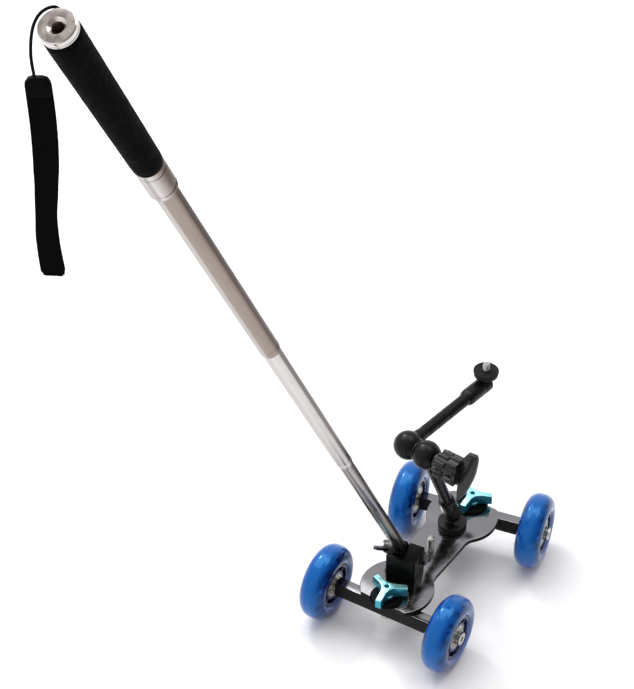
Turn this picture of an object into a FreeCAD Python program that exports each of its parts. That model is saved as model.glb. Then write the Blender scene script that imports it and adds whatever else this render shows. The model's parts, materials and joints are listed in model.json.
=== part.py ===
import FreeCAD, Part
import math
import os
import re

import Sketcher

# Table-top skater dolly with a telescopic push pole and a jointed camera arm.
# Frame: millimetres, +Z up, +Y along the deck from the push pole to the camera arm.
# Origin: axis of the centre stud, at the deck's top face.

SIZES = {
    "deck_thick": 4.5, "lobe_r": 33.0, "lobe_y": 55.0, "lobe_flat_y": 79.0, "waist_w": 44.0,
    "waist_fillet": 15.0, "pivot_y": 72.0, "pivot_hole_r": 3.05,
    "edge_break": 0.6, "stud_r": 3.175, "stud_tall": 15.0, "stud_seat_r": 3.0, "stud_head_r": 6.0,
    "stud_head_tall": 2.0,
    "beam_long": 100.0, "beam_wide": 10.0, "beam_tall": 15.0, "beam_bolt_r": 3.0, "beam_bolt_deep": 14.0,
    "beam_chamfer": 0.8, "pivot_head_r": 5.0, "pivot_head_tall": 3.0, "pivot_bolt_short": 3.0,
    "half_track": 61.25, "tyre_r": 35.0, "tyre_half_w": 12.0, "tyre_shoulder": 10.5, "tyre_lip": 3.0,
    "core_r": 20.75, "core_half_w": 10.0, "core_rim_r": 17.5, "hub_r": 13.6, "web_half": 3.0,
    "web_hole_r": 1.7, "seat_lip": 1.5,
    "bearing_r": 11.0, "bearing_w": 7.0, "bearing_bore_r": 4.0, "bearing_face": 9.0,
    "inner_race_r": 5.8, "outer_race_r": 9.3, "shield_deep": 0.5,
    "axle_r": 3.95, "axle_head_r": 6.0, "axle_head_tall": 4.5, "axle_head_bevel": 0.8,
    "axle_key_r": 2.9, "axle_key_deep": 2.5, "spacer_r": 6.0, "face_gap": 0.15,
    "washer_r": 14.8, "washer_tall": 3.0, "washer_bevel": 1.5, "washer_bore_r": 3.3,
    "knob_hub_r": 6.5, "knob_top": 14.6, "knob_foot": 3.2, "knob_arm_r": 18.0, "knob_arm_w": 5.5,
    "knob_root_w": 7.5, "knob_root_end": 6.0, "knob_arm_start": 11.0, "knob_dome_r": 81.0,
    "knob_key_r": 1.8, "knob_key_deep": 2.0, "knob_bore_end": 2.0,
    "bracket_left": 14.5, "bracket_long": 27.5, "bracket_wide": 24.0, "bracket_tall": 32.0,
    "bracket_chamfer": 1.0, "slot_floor": 14.5, "slot_wall": 3.5, "slot_gap": 0.4,
    "screw_head_r": 5.5, "screw_head_tall": 2.5, "screw_up": 9.5, "tongue_w": 8.0, "tongue_r": 6.5,
    "hinge_bolt_r": 3.0, "hinge_head_r": 5.8, "hinge_head_tall": 4.0, "hinge_bolt_left": 19.0,
    "nut_gap": 0.2, "nut_low_r": 6.75, "nut_top_r": 5.5, "nut_tall": 8.5, "nut_ear_thick": 2.8,
    "tube_wall": 0.65, "tube_step": 1.5, "tube_first_d": 11.2, "first_section": 255.0, "section": 236.5,
    "overlap": 30.0, "tube_start": 17.5, "plug_long": 27.5, "pole_end": 899.0,
    "cap_r": 9.8, "cap_tall": 5.5, "cap_plug": 14.0, "cap_foot_break": 0.4, "cap_edge_tall": 0.8,
    "thread_deep": 12.0, "countersink": 1.6,
    "ferrule_r": 8.7, "ferrule_long": 29.0, "grip_low_r": 8.95, "grip_top_r": 10.1, "grip_start": 759.0,
    "grip_edge": 0.8, "grip_edge_long": 2.0, "ferrule_nose": 1.0,
    "ball_r": 4.4, "ball_gap": 0.1, "neck_r": 1.9, "shank_r": 2.95, "neck_end": 8.2, "shank_start": 9.4,
    "camera_screw_top": 23.0, "foot_neck": 1.2, "cup_r": 7.8, "cup_long": 29.0, "cup_lip": 2.2,
    "cup_cone": 3.0,
    "mouth_top_r": 0.5, "mouth_deep": 4.2, "neck_slot": 4.3, "neck_slot_tall": 4.7,
    "lower_r": 5.2, "lower_top_r": 5.6, "upper_r": 5.8, "arm_reach": 113.8,
    "hub_ball_r": 13.0, "hub_spacing": 20.0, "elbow_bolt_r": 4.0, "elbow_bolt_blind": 6.0,
    "elbow_bolt_past": 30.0, "run_gap": 0.05, "elbow_washer_r": 8.8, "elbow_washer_tall": 1.4,
    "rod_r": 2.2, "rod_gap": 0.1, "rod_wall": 1.5, "disc_r": 13.2, "disc_foot": 0.2, "disc_tall": 7.0,
    "disc_groove_r": 1.0, "camera_disc_r": 11.0, "camera_disc_low": 10.0, "camera_disc_top": 14.0,
    "pad_r": 11.5, "pad_tall": 2.0, "pad_top": 16.0,
    "clamp_neck_r": 7.5, "clamp_neck": 4.0, "clamp_r": 11.3, "clamp_long": 21.5, "clamp_rib_r": 1.9,
    "clamp_rib_long": 10.4, "clamp_rib_start": 0.4, "clamp_rib_step": 10.3, "clamp_bore_deep": 23.0,
    "wing_thick": 5.0, "cord_d": 1.6, "band_w": 15.0, "band_drop": 115.0, "band_thick": 5.0,
    "band_gap": 2.6, "band_ply": 1.2, "band_seam": 15.8,
}

# Rest posture: yaw of each axle beam and of the pole bracket, lean of the pole and of the two arm links.
FRONT_YAW = 4.2
REAR_YAW = 13.5
BRACKET_YAW = 9.87
POLE_LEAN = 31.225
ARM_YAW = -5.0
LOWER_LEAN = 23.5
UPPER_LEAN = -91.9
BRACKET_AT = FreeCAD.Vector(0, -42, 0)
ARM_FOOT_AT = FreeCAD.Vector(0, 37, 0)
HINGE_IN_BRACKET = FreeCAD.Vector(-5.4, 7.9, 22)
BALL_TALL = 15.0
NUT_TURN = 60.0
HUB_INSET = 0.75
KNOB_YAWS = (37.5, 31.0)
CLAMP_TURN = -14.5
TOUCH = 0.01

doc = FreeCAD.newDocument("skater_dolly")
sheet = doc.addObject("Spreadsheet::Sheet", "Sizes")
for row, (word, value) in enumerate(SIZES.items(), start=1):
    sheet.set("A%d" % row, word)
    sheet.set("B%d" % row, str(value))
    sheet.setAlias("B%d" % row, word)
doc.recompute()

sub_parts = []


def size(word):
    """The number that the sheet holds under one alias."""
    return float(sheet.get(word))


def bound(text):
    """An expression in which each alias points at the sheet."""
    return re.sub(r"[a-z][a-z_]*[a-z]", lambda found: "Sizes." + found.group(0), str(text))


def bind(item, **sizes):
    for name, text in sizes.items():
        item.setExpression(name, bound(text))
    return item


def at(x=0, y=0, z=0, turn=None):
    return FreeCAD.Placement(FreeCAD.Vector(x, y, z), turn or FreeCAD.Rotation())


def about(axis, degrees):
    vectors = {"x": (1, 0, 0), "y": (0, 1, 0), "z": (0, 0, 1)}
    return FreeCAD.Rotation(FreeCAD.Vector(*vectors[axis]), degrees)


def cylinder(radius, height, place=None):
    item = doc.addObject("Part::Cylinder", "Cylinder")
    item.Placement = place or at()
    return bind(item, Radius=radius, Height=height)


def cone(low, top, height, place=None):
    item = doc.addObject("Part::Cone", "Cone")
    item.Placement = place or at()
    return bind(item, Radius1=low, Radius2=top, Height=height)


def ball(radius, place=None):
    item = doc.addObject("Part::Sphere", "Ball")
    item.Placement = place or at()
    return bind(item, Radius=radius)


def box(long, wide, tall, place=None):
    """A block centred on its placement in X and Y, standing on it in Z."""
    item = doc.addObject("Part::Box", "Block")
    place = place or at()
    bind(item, Length=long, Width=wide, Height=tall)
    doc.recompute()
    shift = FreeCAD.Vector(-item.Length.Value / 2, -item.Width.Value / 2, 0)
    item.Placement = place.multiply(FreeCAD.Placement(shift, FreeCAD.Rotation()))
    return item


def hexagon(radius, height, place=None):
    item = doc.addObject("Part::Prism", "Hexagon")
    item.Polygon = 6
    item.Placement = place or at()
    return bind(item, Circumradius=radius, Height=height)


def fuse(*items):
    item = doc.addObject("Part::MultiFuse", "Union")
    item.Shapes = list(items)
    item.Refine = True
    return item


def cut(base, *tools):
    item = doc.addObject("Part::Cut", "Cut")
    item.Base = base
    item.Tool = tools[0] if len(tools) == 1 else fuse(*tools)
    item.Refine = True
    return item


def common(base, tool):
    item = doc.addObject("Part::Common", "Common")
    item.Base = base
    item.Tool = tool
    return item


def rounded(item, radius, wanted, kind="Part::Fillet"):
    """Fillet or chamfer the edges of item that wanted() picks."""
    doc.recompute()
    picked = [number for number, edge in enumerate(item.Shape.Edges, start=1) if wanted(edge)]
    result = doc.addObject(kind, "Rounded")
    result.Base = item
    result.Edges = [(number, radius, radius) for number in picked]
    return result


def name_part(item, label, place=None):
    """Give a finished sub-part its own label and place."""
    item.Label = label
    if place is not None:
        item.Placement = place.multiply(item.Placement)
    sub_parts.append(item)
    return item


def outline(body, role, points):
    """A closed sketch through points given as pairs of expressions."""
    sketch = body.newObject("Sketcher::SketchObject", "Outline")
    plane = [item for item in body.Origin.OriginFeatures if item.Role == role][0]
    sketch.AttachmentSupport = [(plane, "")]
    sketch.MapMode = "FlatFace"
    count = len(points)
    corners = [FreeCAD.Vector(50 + 10 * math.cos(2 * math.pi * i / count),
                              10 * math.sin(2 * math.pi * i / count), 0) for i in range(count)]
    for i in range(count):
        sketch.addGeometry(Part.LineSegment(corners[i], corners[(i + 1) % count]))
    for i in range(count):
        sketch.addConstraint(Sketcher.Constraint("Coincident", i, 2, (i + 1) % count, 1))
    for i, (across, up) in enumerate(points):
        number = sketch.addConstraint(Sketcher.Constraint("DistanceX", i, 1, corners[i].x))
        sketch.setExpression("Constraints[%d]" % number, bound(across))
        number = sketch.addConstraint(Sketcher.Constraint("DistanceY", i, 1, corners[i].y))
        sketch.setExpression("Constraints[%d]" % number, bound(up))
    return sketch


def turned(points):
    """A body turned about its own Z axis from (radius, height) pairs."""
    body = doc.addObject("PartDesign::Body", "Turned")
    sketch = outline(body, "XZ_Plane", points)
    turn = body.newObject("PartDesign::Revolution", "Turn")
    turn.Profile = sketch
    turn.ReferenceAxis = (sketch, ["V_Axis"])
    turn.Angle = 360
    body.Tip = turn
    return body


def plate(points, thickness, role="XY_Plane"):
    """A body of even thickness, padded from an outline on one of its own planes."""
    body = doc.addObject("PartDesign::Body", "Plate")
    pad = body.newObject("PartDesign::Pad", "Pad")
    pad.Profile = outline(body, role, points)
    bind(pad, Length=thickness)
    pad.Midplane = role != "XY_Plane"
    body.Tip = pad
    return body


def circle(body, radius, across, up):
    sketch = body.newObject("Sketcher::SketchObject", "Circle")
    plane = [item for item in body.Origin.OriginFeatures if item.Role == "XY_Plane"][0]
    sketch.AttachmentSupport = [(plane, "")]
    sketch.MapMode = "FlatFace"
    sketch.addGeometry(Part.Circle(FreeCAD.Vector(5, 5, 0), FreeCAD.Vector(0, 0, 1), 2))
    for kind, place, text in (("DistanceX", 3, across), ("DistanceY", 3, up)):
        number = sketch.addConstraint(Sketcher.Constraint(kind, 0, place, 5))
        sketch.setExpression("Constraints[%d]" % number, bound(text))
    number = sketch.addConstraint(Sketcher.Constraint("Radius", 0, 2))
    sketch.setExpression("Constraints[%d]" % number, bound(radius))
    return sketch


# ---------------------------------------------------------------- deck


def is_upright(edge):
    ends = [vertex.Point for vertex in edge.Vertexes]
    if len(ends) != 2:
        return False
    level = FreeCAD.Vector(ends[1].x, ends[1].y, ends[0].z)
    return ends[0].distanceToPoint(level) < TOUCH


def base_plate():
    low = -size("deck_thick")
    lobes = [cylinder("lobe_r", "deck_thick", at(0, side * size("lobe_y"), low)) for side in (-1, 1)]
    waist = box("waist_w", "lobe_y * 2", "deck_thick", at(0, 0, low))
    outer = box("lobe_r * 2", "lobe_flat_y * 2", "deck_thick", at(0, 0, low))
    bone = common(fuse(waist, *lobes), outer)
    waist_x = size("waist_w") / 2

    def is_waist_corner(edge):
        spot = edge.CenterOfMass
        return is_upright(edge) and abs(abs(spot.x) - waist_x) < TOUCH and abs(spot.y) < size("lobe_y")

    bone = rounded(bone, size("waist_fillet"), is_waist_corner)
    holes = [cylinder("pivot_hole_r", "deck_thick", at(0, side * size("pivot_y"), low)) for side in (-1, 1)]
    holes.append(cylinder("stud_seat_r", "deck_thick", at(0, 0, low)))
    holes.append(cylinder("stud_seat_r", "deck_thick", at(ARM_FOOT_AT.x, ARM_FOOT_AT.y, low)))
    holes.append(cylinder("pivot_hole_r", "deck_thick", at(BRACKET_AT.x, BRACKET_AT.y, low)))
    name_part(cut(bone, *holes), "base_plate")


def centre_stud():
    low = "-deck_thick - stud_head_tall"
    name_part(turned([
        ("0", low), ("stud_head_r", low), ("stud_head_r", "-deck_thick"), ("stud_seat_r", "-deck_thick"),
        ("stud_seat_r", "0"), ("stud_r", "0"), ("stud_r", "stud_tall - edge_break"),
        ("stud_r - edge_break", "stud_tall"), ("0", "stud_tall")]), "centre_stud")


def knob_washer(label, side):
    name_part(turned([
        ("washer_bore_r", "0"), ("washer_r", "0"), ("washer_r", "washer_tall / 2"),
        ("washer_r - washer_bevel", "washer_tall"), ("washer_bore_r", "washer_tall")]),
        label, at(0, side * size("pivot_y"), 0))


# ---------------------------------------------------------------- axles


def axle_beam(label, side, yaw):
    low = -size("deck_thick") - size("beam_tall")
    middle = low + size("beam_tall") / 2

    def is_long(edge):
        return abs(edge.Vertexes[0].X - edge.Vertexes[-1].X) > size("beam_long") / 2

    bar = rounded(box("beam_long", "beam_wide", "beam_tall", at(0, 0, low)), size("beam_chamfer"),
                  is_long, "Part::Chamfer")
    holes = [cylinder("beam_bolt_r", "beam_tall", at(0, 0, low))]
    for end in (-1, 1):
        mouth = at(end * size("beam_long") / 2, 0, middle, about("y", -90 * end))
        holes.append(cylinder("beam_bolt_r", "beam_bolt_deep", mouth))
    name_part(cut(bar, *holes), label, at(0, side * size("pivot_y"), 0, about("z", yaw)))


def pivot_bolt(label, side, yaw):
    seat = "-deck_thick - beam_tall"
    low = seat + " - pivot_head_tall"
    top = "knob_top - pivot_bolt_short"
    name_part(turned([
        ("0", low), ("pivot_head_r", low), ("pivot_head_r", seat), ("beam_bolt_r", seat),
        ("beam_bolt_r", top), ("0", top)]),
        label, at(0, side * size("pivot_y"), 0, about("z", yaw)))


def lock_knob(label, side, yaw):
    """Three-armed star knob with concave flanks and a socket in its top."""
    body = doc.addObject("PartDesign::Body", "Star")
    hub = body.newObject("PartDesign::Pad", "Hub")
    hub.Profile = circle(body, "knob_hub_r", "0", "0")
    bind(hub, Length="knob_top - knob_foot")
    arm = body.newObject("PartDesign::Pad", "Arm")
    arm.Profile = outline(body, "XY_Plane", [
        ("0", "-knob_hub_r"), ("knob_root_end", "-knob_root_w / 2"), ("knob_arm_start", "-knob_arm_w / 2"),
        ("knob_arm_r", "-knob_arm_w / 2"), ("knob_arm_r", "knob_arm_w / 2"),
        ("knob_arm_start", "knob_arm_w / 2"), ("knob_root_end", "knob_root_w / 2"), ("0", "knob_hub_r")])
    bind(arm, Length="knob_top - knob_foot")
    star = body.newObject("PartDesign::PolarPattern", "Arms")
    star.Originals = [arm]
    star.Axis = ([item for item in body.Origin.OriginFeatures if item.Role == "Z_Axis"][0], [""])
    star.Occurrences = 3
    star.Angle = 360
    body.Tip = star
    crown = size("knob_top") - size("knob_foot")
    domed = common(body, ball("knob_dome_r", at(0, 0, crown - size("knob_dome_r"))))
    bore = cylinder("pivot_hole_r", "knob_top - knob_foot - knob_bore_end", at())
    socket = hexagon("knob_key_r", "knob_key_deep", at(0, 0, crown - size("knob_key_deep")))
    name_part(cut(domed, bore, socket), label,
              at(0, side * size("pivot_y"), size("knob_foot"), about("z", yaw)))


# ---------------------------------------------------------------- wheels


def wheel_place(side, end, yaw):
    """Wheel centre with local Z pointing outwards along the axle."""
    pivot = at(0, side * size("pivot_y"), -size("deck_thick") - size("beam_tall") / 2, about("z", yaw))
    return pivot.multiply(at(end * size("half_track"), 0, 0, about("y", 90 * end)))


def tyre(label, place):
    body = turned([
        ("core_r", "-core_half_w"), ("core_r + tyre_lip", "-tyre_half_w"), ("tyre_r", "-tyre_half_w"),
        ("tyre_r", "tyre_half_w"), ("core_r + tyre_lip", "tyre_half_w"), ("core_r", "core_half_w")])
    doc.recompute()
    shoulders = []
    for number, edge in enumerate(body.Shape.Edges, start=1):
        if hasattr(edge.Curve, "Radius") and abs(edge.Curve.Radius - size("tyre_r")) < TOUCH:
            shoulders.append("Edge%d" % number)
    turn = body.Tip
    fillet = body.newObject("PartDesign::Fillet", "Shoulders")
    fillet.Base = (turn, shoulders)
    bind(fillet, Radius="tyre_shoulder")
    body.Tip = fillet
    name_part(body, label, place)


def wheel_core(label, place):
    """Hub with bearing seats, a thin web with six holes and an outer rim."""
    body = turned([
        ("core_r", "-core_half_w"), ("core_r", "core_half_w"), ("core_rim_r", "core_half_w"),
        ("core_rim_r", "web_half"), ("hub_r", "web_half"), ("hub_r", "bearing_face"),
        ("bearing_r", "bearing_face"), ("bearing_r", "bearing_face - bearing_w"),
        ("bearing_r - seat_lip", "bearing_face - bearing_w"),
        ("bearing_r - seat_lip", "bearing_w - bearing_face"),
        ("bearing_r", "bearing_w - bearing_face"), ("bearing_r", "-bearing_face"),
        ("hub_r", "-bearing_face"),
        ("hub_r", "-web_half"), ("core_rim_r", "-web_half"), ("core_rim_r", "-core_half_w")])
    hole = body.newObject("PartDesign::Pocket", "WebHole")
    hole.Profile = circle(body, "web_hole_r", "(core_rim_r + hub_r) / 2", "0")
    hole.Type = "ThroughAll"
    hole.Midplane = True
    holes = body.newObject("PartDesign::PolarPattern", "WebHoles")
    holes.Originals = [hole]
    holes.Axis = ([item for item in body.Origin.OriginFeatures if item.Role == "Z_Axis"][0], [""])
    holes.Occurrences = 6
    holes.Angle = 360
    body.Tip = holes
    name_part(body, label, place)


def bearing(label, place, middle):
    """Ball bearing as one ring with a shallow recess in each face where its shields lie."""
    half = "bearing_w / 2"
    recess = half + " - shield_deep"
    name_part(turned([
        ("bearing_bore_r", "-" + half), ("inner_race_r", "-" + half),
        ("inner_race_r", "shield_deep - " + half),
        ("outer_race_r", "shield_deep - " + half), ("outer_race_r", "-" + half), ("bearing_r", "-" + half),
        ("bearing_r", half), ("outer_race_r", half), ("outer_race_r", recess), ("inner_race_r", recess),
        ("inner_race_r", half), ("bearing_bore_r", half)]),
        label, place.multiply(at(0, 0, middle)))


def axle_bolt(label, place):
    beam_end = "beam_long / 2 - half_track"
    top = "bearing_face + face_gap + axle_head_tall"
    shank = turned([
        ("0", beam_end + " - beam_bolt_deep"), ("beam_bolt_r", beam_end + " - beam_bolt_deep"),
        ("beam_bolt_r", beam_end), ("axle_r", beam_end), ("axle_r", "bearing_face + face_gap"),
        ("axle_head_r", "bearing_face + face_gap"), ("axle_head_r", top + " - axle_head_bevel"),
        ("axle_head_r - axle_head_bevel", top), ("0", top)])
    key_floor = size("bearing_face") + size("face_gap") + size("axle_head_tall") - size("axle_key_deep")
    socket = hexagon("axle_key_r", "axle_key_deep", at(0, 0, key_floor))
    name_part(cut(shank, socket), label, place)


def axle_spacer(label, place):
    name_part(turned([
        ("axle_r", "beam_long / 2 - half_track"), ("axle_r", "-bearing_face - face_gap"),
        ("spacer_r", "-bearing_face - face_gap"), ("spacer_r", "beam_long / 2 - half_track")]),
        label, place)


def wheel(name, side, end, yaw):
    place = wheel_place(side, end, yaw)
    seat = size("bearing_face") - size("bearing_w") / 2
    tyre(name + "_tyre", place)
    wheel_core(name + "_core", place)
    bearing(name + "_bearing_outer", place, seat)
    bearing(name + "_bearing_inner", place, -seat)
    axle_bolt(name + "_axle_bolt", place)
    axle_spacer(name + "_spacer", place)


# ---------------------------------------------------------------- pole bracket and push pole

BRACKET = FreeCAD.Placement(BRACKET_AT, about("z", BRACKET_YAW))
HINGE = BRACKET.multiply(FreeCAD.Placement(HINGE_IN_BRACKET, FreeCAD.Rotation()))
POLE = HINGE.multiply(at(0, 0, 0, about("x", POLE_LEAN)))
ALONG_HINGE = about("y", 90)


def bracket_block():
    """Yoke with a thick right cheek, a thin left cheek and a wall in front of the pole's tongue."""
    middle = size("bracket_long") / 2 - size("bracket_left")
    block = box("bracket_long", "bracket_wide", "bracket_tall", at(middle, 0, 0))
    slot = box("tongue_w + slot_gap", "bracket_wide", "bracket_tall",
               at(HINGE_IN_BRACKET.x, size("slot_wall"), size("slot_floor")))
    pin_hole = cylinder("hinge_bolt_r", "bracket_long",
                        at(-size("bracket_left"), HINGE_IN_BRACKET.y, HINGE_IN_BRACKET.z, ALONG_HINGE))
    screw_hole = cylinder("hinge_bolt_r", "screw_up", at())
    block = rounded(block, size("bracket_chamfer"), is_upright, "Part::Chamfer")
    name_part(cut(block, slot, pin_hole, screw_hole), "bracket_block", BRACKET)


def bracket_screw():
    low = "-deck_thick - screw_head_tall"
    name_part(turned([
        ("0", low), ("screw_head_r", low), ("screw_head_r", "-deck_thick"), ("hinge_bolt_r", "-deck_thick"),
        ("hinge_bolt_r", "screw_up"), ("0", "screw_up")]), "bracket_screw", BRACKET)


def hinge_bolt():
    right_face = size("bracket_long") - size("bracket_left") - HINGE_IN_BRACKET.x
    shank_long = "hinge_bolt_left + %s" % right_face
    shank = cylinder("hinge_bolt_r", shank_long, at(-size("hinge_bolt_left"), 0, 0, ALONG_HINGE))
    head = hexagon("hinge_head_r", "hinge_head_tall", at(right_face, 0, 0, ALONG_HINGE))
    name_part(fuse(shank, head), "hinge_bolt", HINGE)


def wing_nut():
    """Tapered round nut with two flat ears that spread outwards, outside the left cheek."""
    left_face = -size("bracket_left") - HINGE_IN_BRACKET.x - size("nut_gap")
    hub = cone("nut_low_r", "nut_top_r", "nut_tall")
    ear = [("4", "1"), ("7", "1.5"), ("11.5", "6"), ("15.4", "10.2"), ("16", "12.6"), ("14.8", "14.8"),
           ("12.2", "15"), ("8.5", "12"), ("5.2", "8.3")]
    other_ear = [("-" + across, up) for across, up in reversed(ear)]
    ears = plate(ear + other_ear, "nut_ear_thick", "XZ_Plane")
    bore = cylinder("hinge_bolt_r + run_gap", "nut_tall * 2", at(0, 0, -size("nut_tall") / 2))
    outward = at(left_face, 0, 0, about("x", NUT_TURN)).multiply(at(0, 0, 0, about("y", -90)))
    name_part(cut(fuse(hub, ears), bore), "wing_nut", HINGE.multiply(outward))


def pole_socket():
    """Flat tongue on the hinge with a round plug that fills the lowest tube's end."""
    half = -size("tongue_w") / 2
    barrel = cylinder("tongue_r", "tongue_w", at(half, 0, 0, ALONG_HINGE))
    tongue = box("tongue_w", "tongue_r * 2", "tube_start", at())
    plug = cylinder("tube_first_d / 2 - tube_wall", "plug_long", at(0, 0, size("tube_start")))
    bore = cylinder("hinge_bolt_r + run_gap", "tongue_w * 2", at(-size("tongue_w"), 0, 0, ALONG_HINGE))
    name_part(cut(fuse(barrel, tongue, plug), bore), "pole_socket", POLE)


def pole_tube(number):
    """One of four nested tubes, number 1 lowest and thinnest."""
    outer = "(tube_first_d + %d * tube_step) / 2" % (number - 1)
    if number == 1:
        start, end = "tube_start", "first_section + overlap"
    elif number < 4:
        start = "first_section + section * %d" % (number - 2)
        end = start + " + section + overlap"
    else:
        start, end = "grip_start - ferrule_long", "pole_end - cap_tall"
    name_part(turned([
        (outer + " - tube_wall", start), (outer, start), (outer, end), (outer + " - tube_wall", end)]),
        "pole_tube_%d" % number, POLE)


def grip_ferrule():
    inner = "(tube_first_d + 3 * tube_step) / 2"
    start = "grip_start - ferrule_long"
    name_part(turned([
        (inner, start), ("ferrule_r - edge_break", start), ("ferrule_r", start + " + ferrule_nose"),
        ("ferrule_r", "grip_start"), (inner, "grip_start")]), "grip_ferrule", POLE)


def foam_grip():
    inner = "(tube_first_d + 3 * tube_step) / 2"
    end = "pole_end - cap_tall"
    name_part(turned([
        (inner, "grip_start"), ("grip_low_r", "grip_start"), ("grip_top_r", end + " - grip_edge_long"),
        ("grip_top_r - grip_edge", end), (inner, end)]), "foam_grip", POLE)


def end_cap():
    """Screwed-in plug with a countersunk quarter-inch thread in its outer face."""
    shoulder = "pole_end - cap_tall"
    inner = "(tube_first_d + 3 * tube_step) / 2 - tube_wall"
    name_part(turned([
        ("0", shoulder + " - cap_plug"), (inner, shoulder + " - cap_plug"), (inner, shoulder),
        ("cap_r - cap_foot_break", shoulder), ("cap_r", shoulder + " + cap_edge_tall"),
        ("cap_r", "pole_end - edge_break"), ("cap_r - edge_break", "pole_end"),
        ("stud_r + countersink", "pole_end"),
        ("stud_r", "pole_end - countersink"), ("stud_r", "pole_end - thread_deep"),
        ("0", "pole_end - thread_deep")]), "end_cap", POLE)


# ---------------------------------------------------------------- wrist strap

CORD_ROUTE = [
    (68.6, -485.6, 793.3), (65.9, -485.2, 794.4), (62.9, -488.3, 794.0), (61.0, -492.2, 792.1),
    (60.7, -496.0, 788.8), (61.7, -499.2, 785.6), (63.7, -502.9, 780.9), (66.5, -506.5, 775.0),
    (70.2, -509.0, 768.9),
]
STRAP_FACING = 34.86
ARC_SHARE = 0.45


def rounded_path(points):
    """Straight runs joined by tangent arcs as large as the runs allow."""
    spots = [FreeCAD.Vector(*point) for point in points]
    edges = []
    last = spots[0]
    for before, corner, after in zip(spots, spots[1:], spots[2:]):
        back = (before - corner).normalize()
        ahead = (after - corner).normalize()
        reach = ARC_SHARE * min((before - corner).Length, (after - corner).Length)
        half_turn = (math.pi - back.getAngle(ahead)) / 2
        radius = reach / math.tan(half_turn)
        print("cord bend radius %.2f" % radius)
        enter = corner + back * reach
        leave = corner + ahead * reach
        inward = (back + ahead).normalize()
        middle = corner + inward * (radius / math.cos(half_turn) - radius)
        edges.append(Part.LineSegment(last, enter).toShape())
        edges.append(Part.Arc(enter, middle, leave).toShape())
        last = leave
    edges.append(Part.LineSegment(last, spots[-1]).toShape())
    return Part.Wire(edges)


def strap_cord():
    path = rounded_path(CORD_ROUTE)
    start = FreeCAD.Vector(*CORD_ROUTE[0])
    heading = (FreeCAD.Vector(*CORD_ROUTE[1]) - start).normalize()
    radius = size("cord_d") / 2
    ring = Part.Wire([Part.Circle(start, heading, radius).toShape()])
    item = doc.addObject("Part::Feature", "Cord")
    item.Shape = path.makePipeShell([ring], True, True)
    print("cord volume ratio %.4f" % (item.Shape.Volume / (math.pi * radius ** 2 * path.Length)))
    item.Placement = at()
    name_part(item, "strap_cord")


def strap_band():
    """Woven band folded into a hanging loop, with its sewn end round the cord."""
    top = FreeCAD.Vector(*CORD_ROUTE[-1])
    outer = box("band_w", "band_thick", "band_drop", at(0, 0, -size("band_drop")))
    inner = box("band_w * 2", "band_gap", "band_drop - band_ply - band_seam",
                at(0, 0, size("band_ply") - size("band_drop")))
    name_part(cut(outer, inner), "strap_band",
              FreeCAD.Placement(top, about("z", STRAP_FACING)))


# ---------------------------------------------------------------- camera arm

FOOT_BALL = at(ARM_FOOT_AT.x, ARM_FOOT_AT.y, BALL_TALL, about("z", ARM_YAW))
LOWER = FOOT_BALL.multiply(at(0, 0, 0, about("x", LOWER_LEAN)))
ELBOW_LOWER = LOWER.multiply(at(0, 0, size("arm_reach")))
ELBOW_UPPER = ELBOW_LOWER.multiply(at(-size("hub_spacing"), 0, 0))
UPPER = ELBOW_UPPER.multiply(at(0, 0, 0, about("x", UPPER_LEAN - LOWER_LEAN)))
CAMERA_BALL = FreeCAD.Placement(UPPER.multiply(at(0, 0, size("arm_reach"))).Base, FreeCAD.Rotation())


def camera_stud():
    """Ball on a thin neck, then a shank for the thumb disc and a quarter-inch screw above the pad."""
    screw_start = "pad_top + disc_foot"
    stem = turned([
        ("0", "0"), ("neck_r", "0"), ("neck_r", "neck_end"), ("shank_r", "shank_start"),
        ("shank_r", screw_start), ("stud_r", screw_start), ("stud_r", "camera_screw_top - edge_break"),
        ("stud_r - edge_break", "camera_screw_top"), ("0", "camera_screw_top")])
    name_part(fuse(ball("ball_r"), stem), "camera_stud", CAMERA_BALL)


def arm_foot_stud():
    """Ball stud screwed into the deck: thread below, ball on top."""
    stem = turned([
        ("0", "-deck_thick"), ("stud_seat_r", "-deck_thick"), ("stud_seat_r", "0"), ("stud_r", "0"),
        ("stud_r", "disc_tall"), ("neck_r", "disc_tall + foot_neck"), ("neck_r", "stud_tall"),
        ("0", "stud_tall")])
    name_part(fuse(ball("ball_r", at(0, 0, BALL_TALL)), stem), "arm_foot_stud",
              FreeCAD.Placement(ARM_FOOT_AT, about("z", ARM_YAW)))


GROOVE_TURN = 20


def lock_disc(label, place, bore, radius, low, high):
    """Thumb disc with a coarse grip round its rim, running on the screw."""
    bevel = " - edge_break"
    disc = turned([
        (bore, low), (radius + bevel, low), (radius, low + " + edge_break"), (radius, high + bevel),
        (radius + bevel, high), (bore, high)])
    reach = size(radius) + size("disc_groove_r") / 2
    grooves = []
    for turn in range(0, 360, GROOVE_TURN):
        spot = about("z", turn).multVec(FreeCAD.Vector(reach, 0, 0))
        grooves.append(cylinder("disc_groove_r", "disc_tall * 3", at(*spot)))
    name_part(cut(disc, *grooves), label, place)


def arm_link(low_r, top_r):
    """Tube with a collared ball cup at one end and a ball hub at the elbow; local Z runs from cup to hub."""
    tube = cone(low_r, top_r, "arm_reach")
    cup = turned([
        ("0", "-cup_lip"), ("cup_r - edge_break", "-cup_lip"), ("cup_r", "edge_break - cup_lip"),
        ("cup_r", "cup_long"), (low_r, "cup_long + cup_cone"), ("0", "cup_long + cup_cone")])
    hub = ball("hub_ball_r", at(0, 0, size("arm_reach")))
    hollows = [
        ball("ball_r + ball_gap"),
        cone("ball_r - 0.3", "mouth_top_r", "mouth_deep", at(0, 0, -size("cup_lip") - size("ball_gap"))),
        cylinder("rod_r + rod_gap", "arm_reach - elbow_bolt_r - rod_wall"),
    ]
    return fuse(tube, cup, hub), hollows


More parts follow.
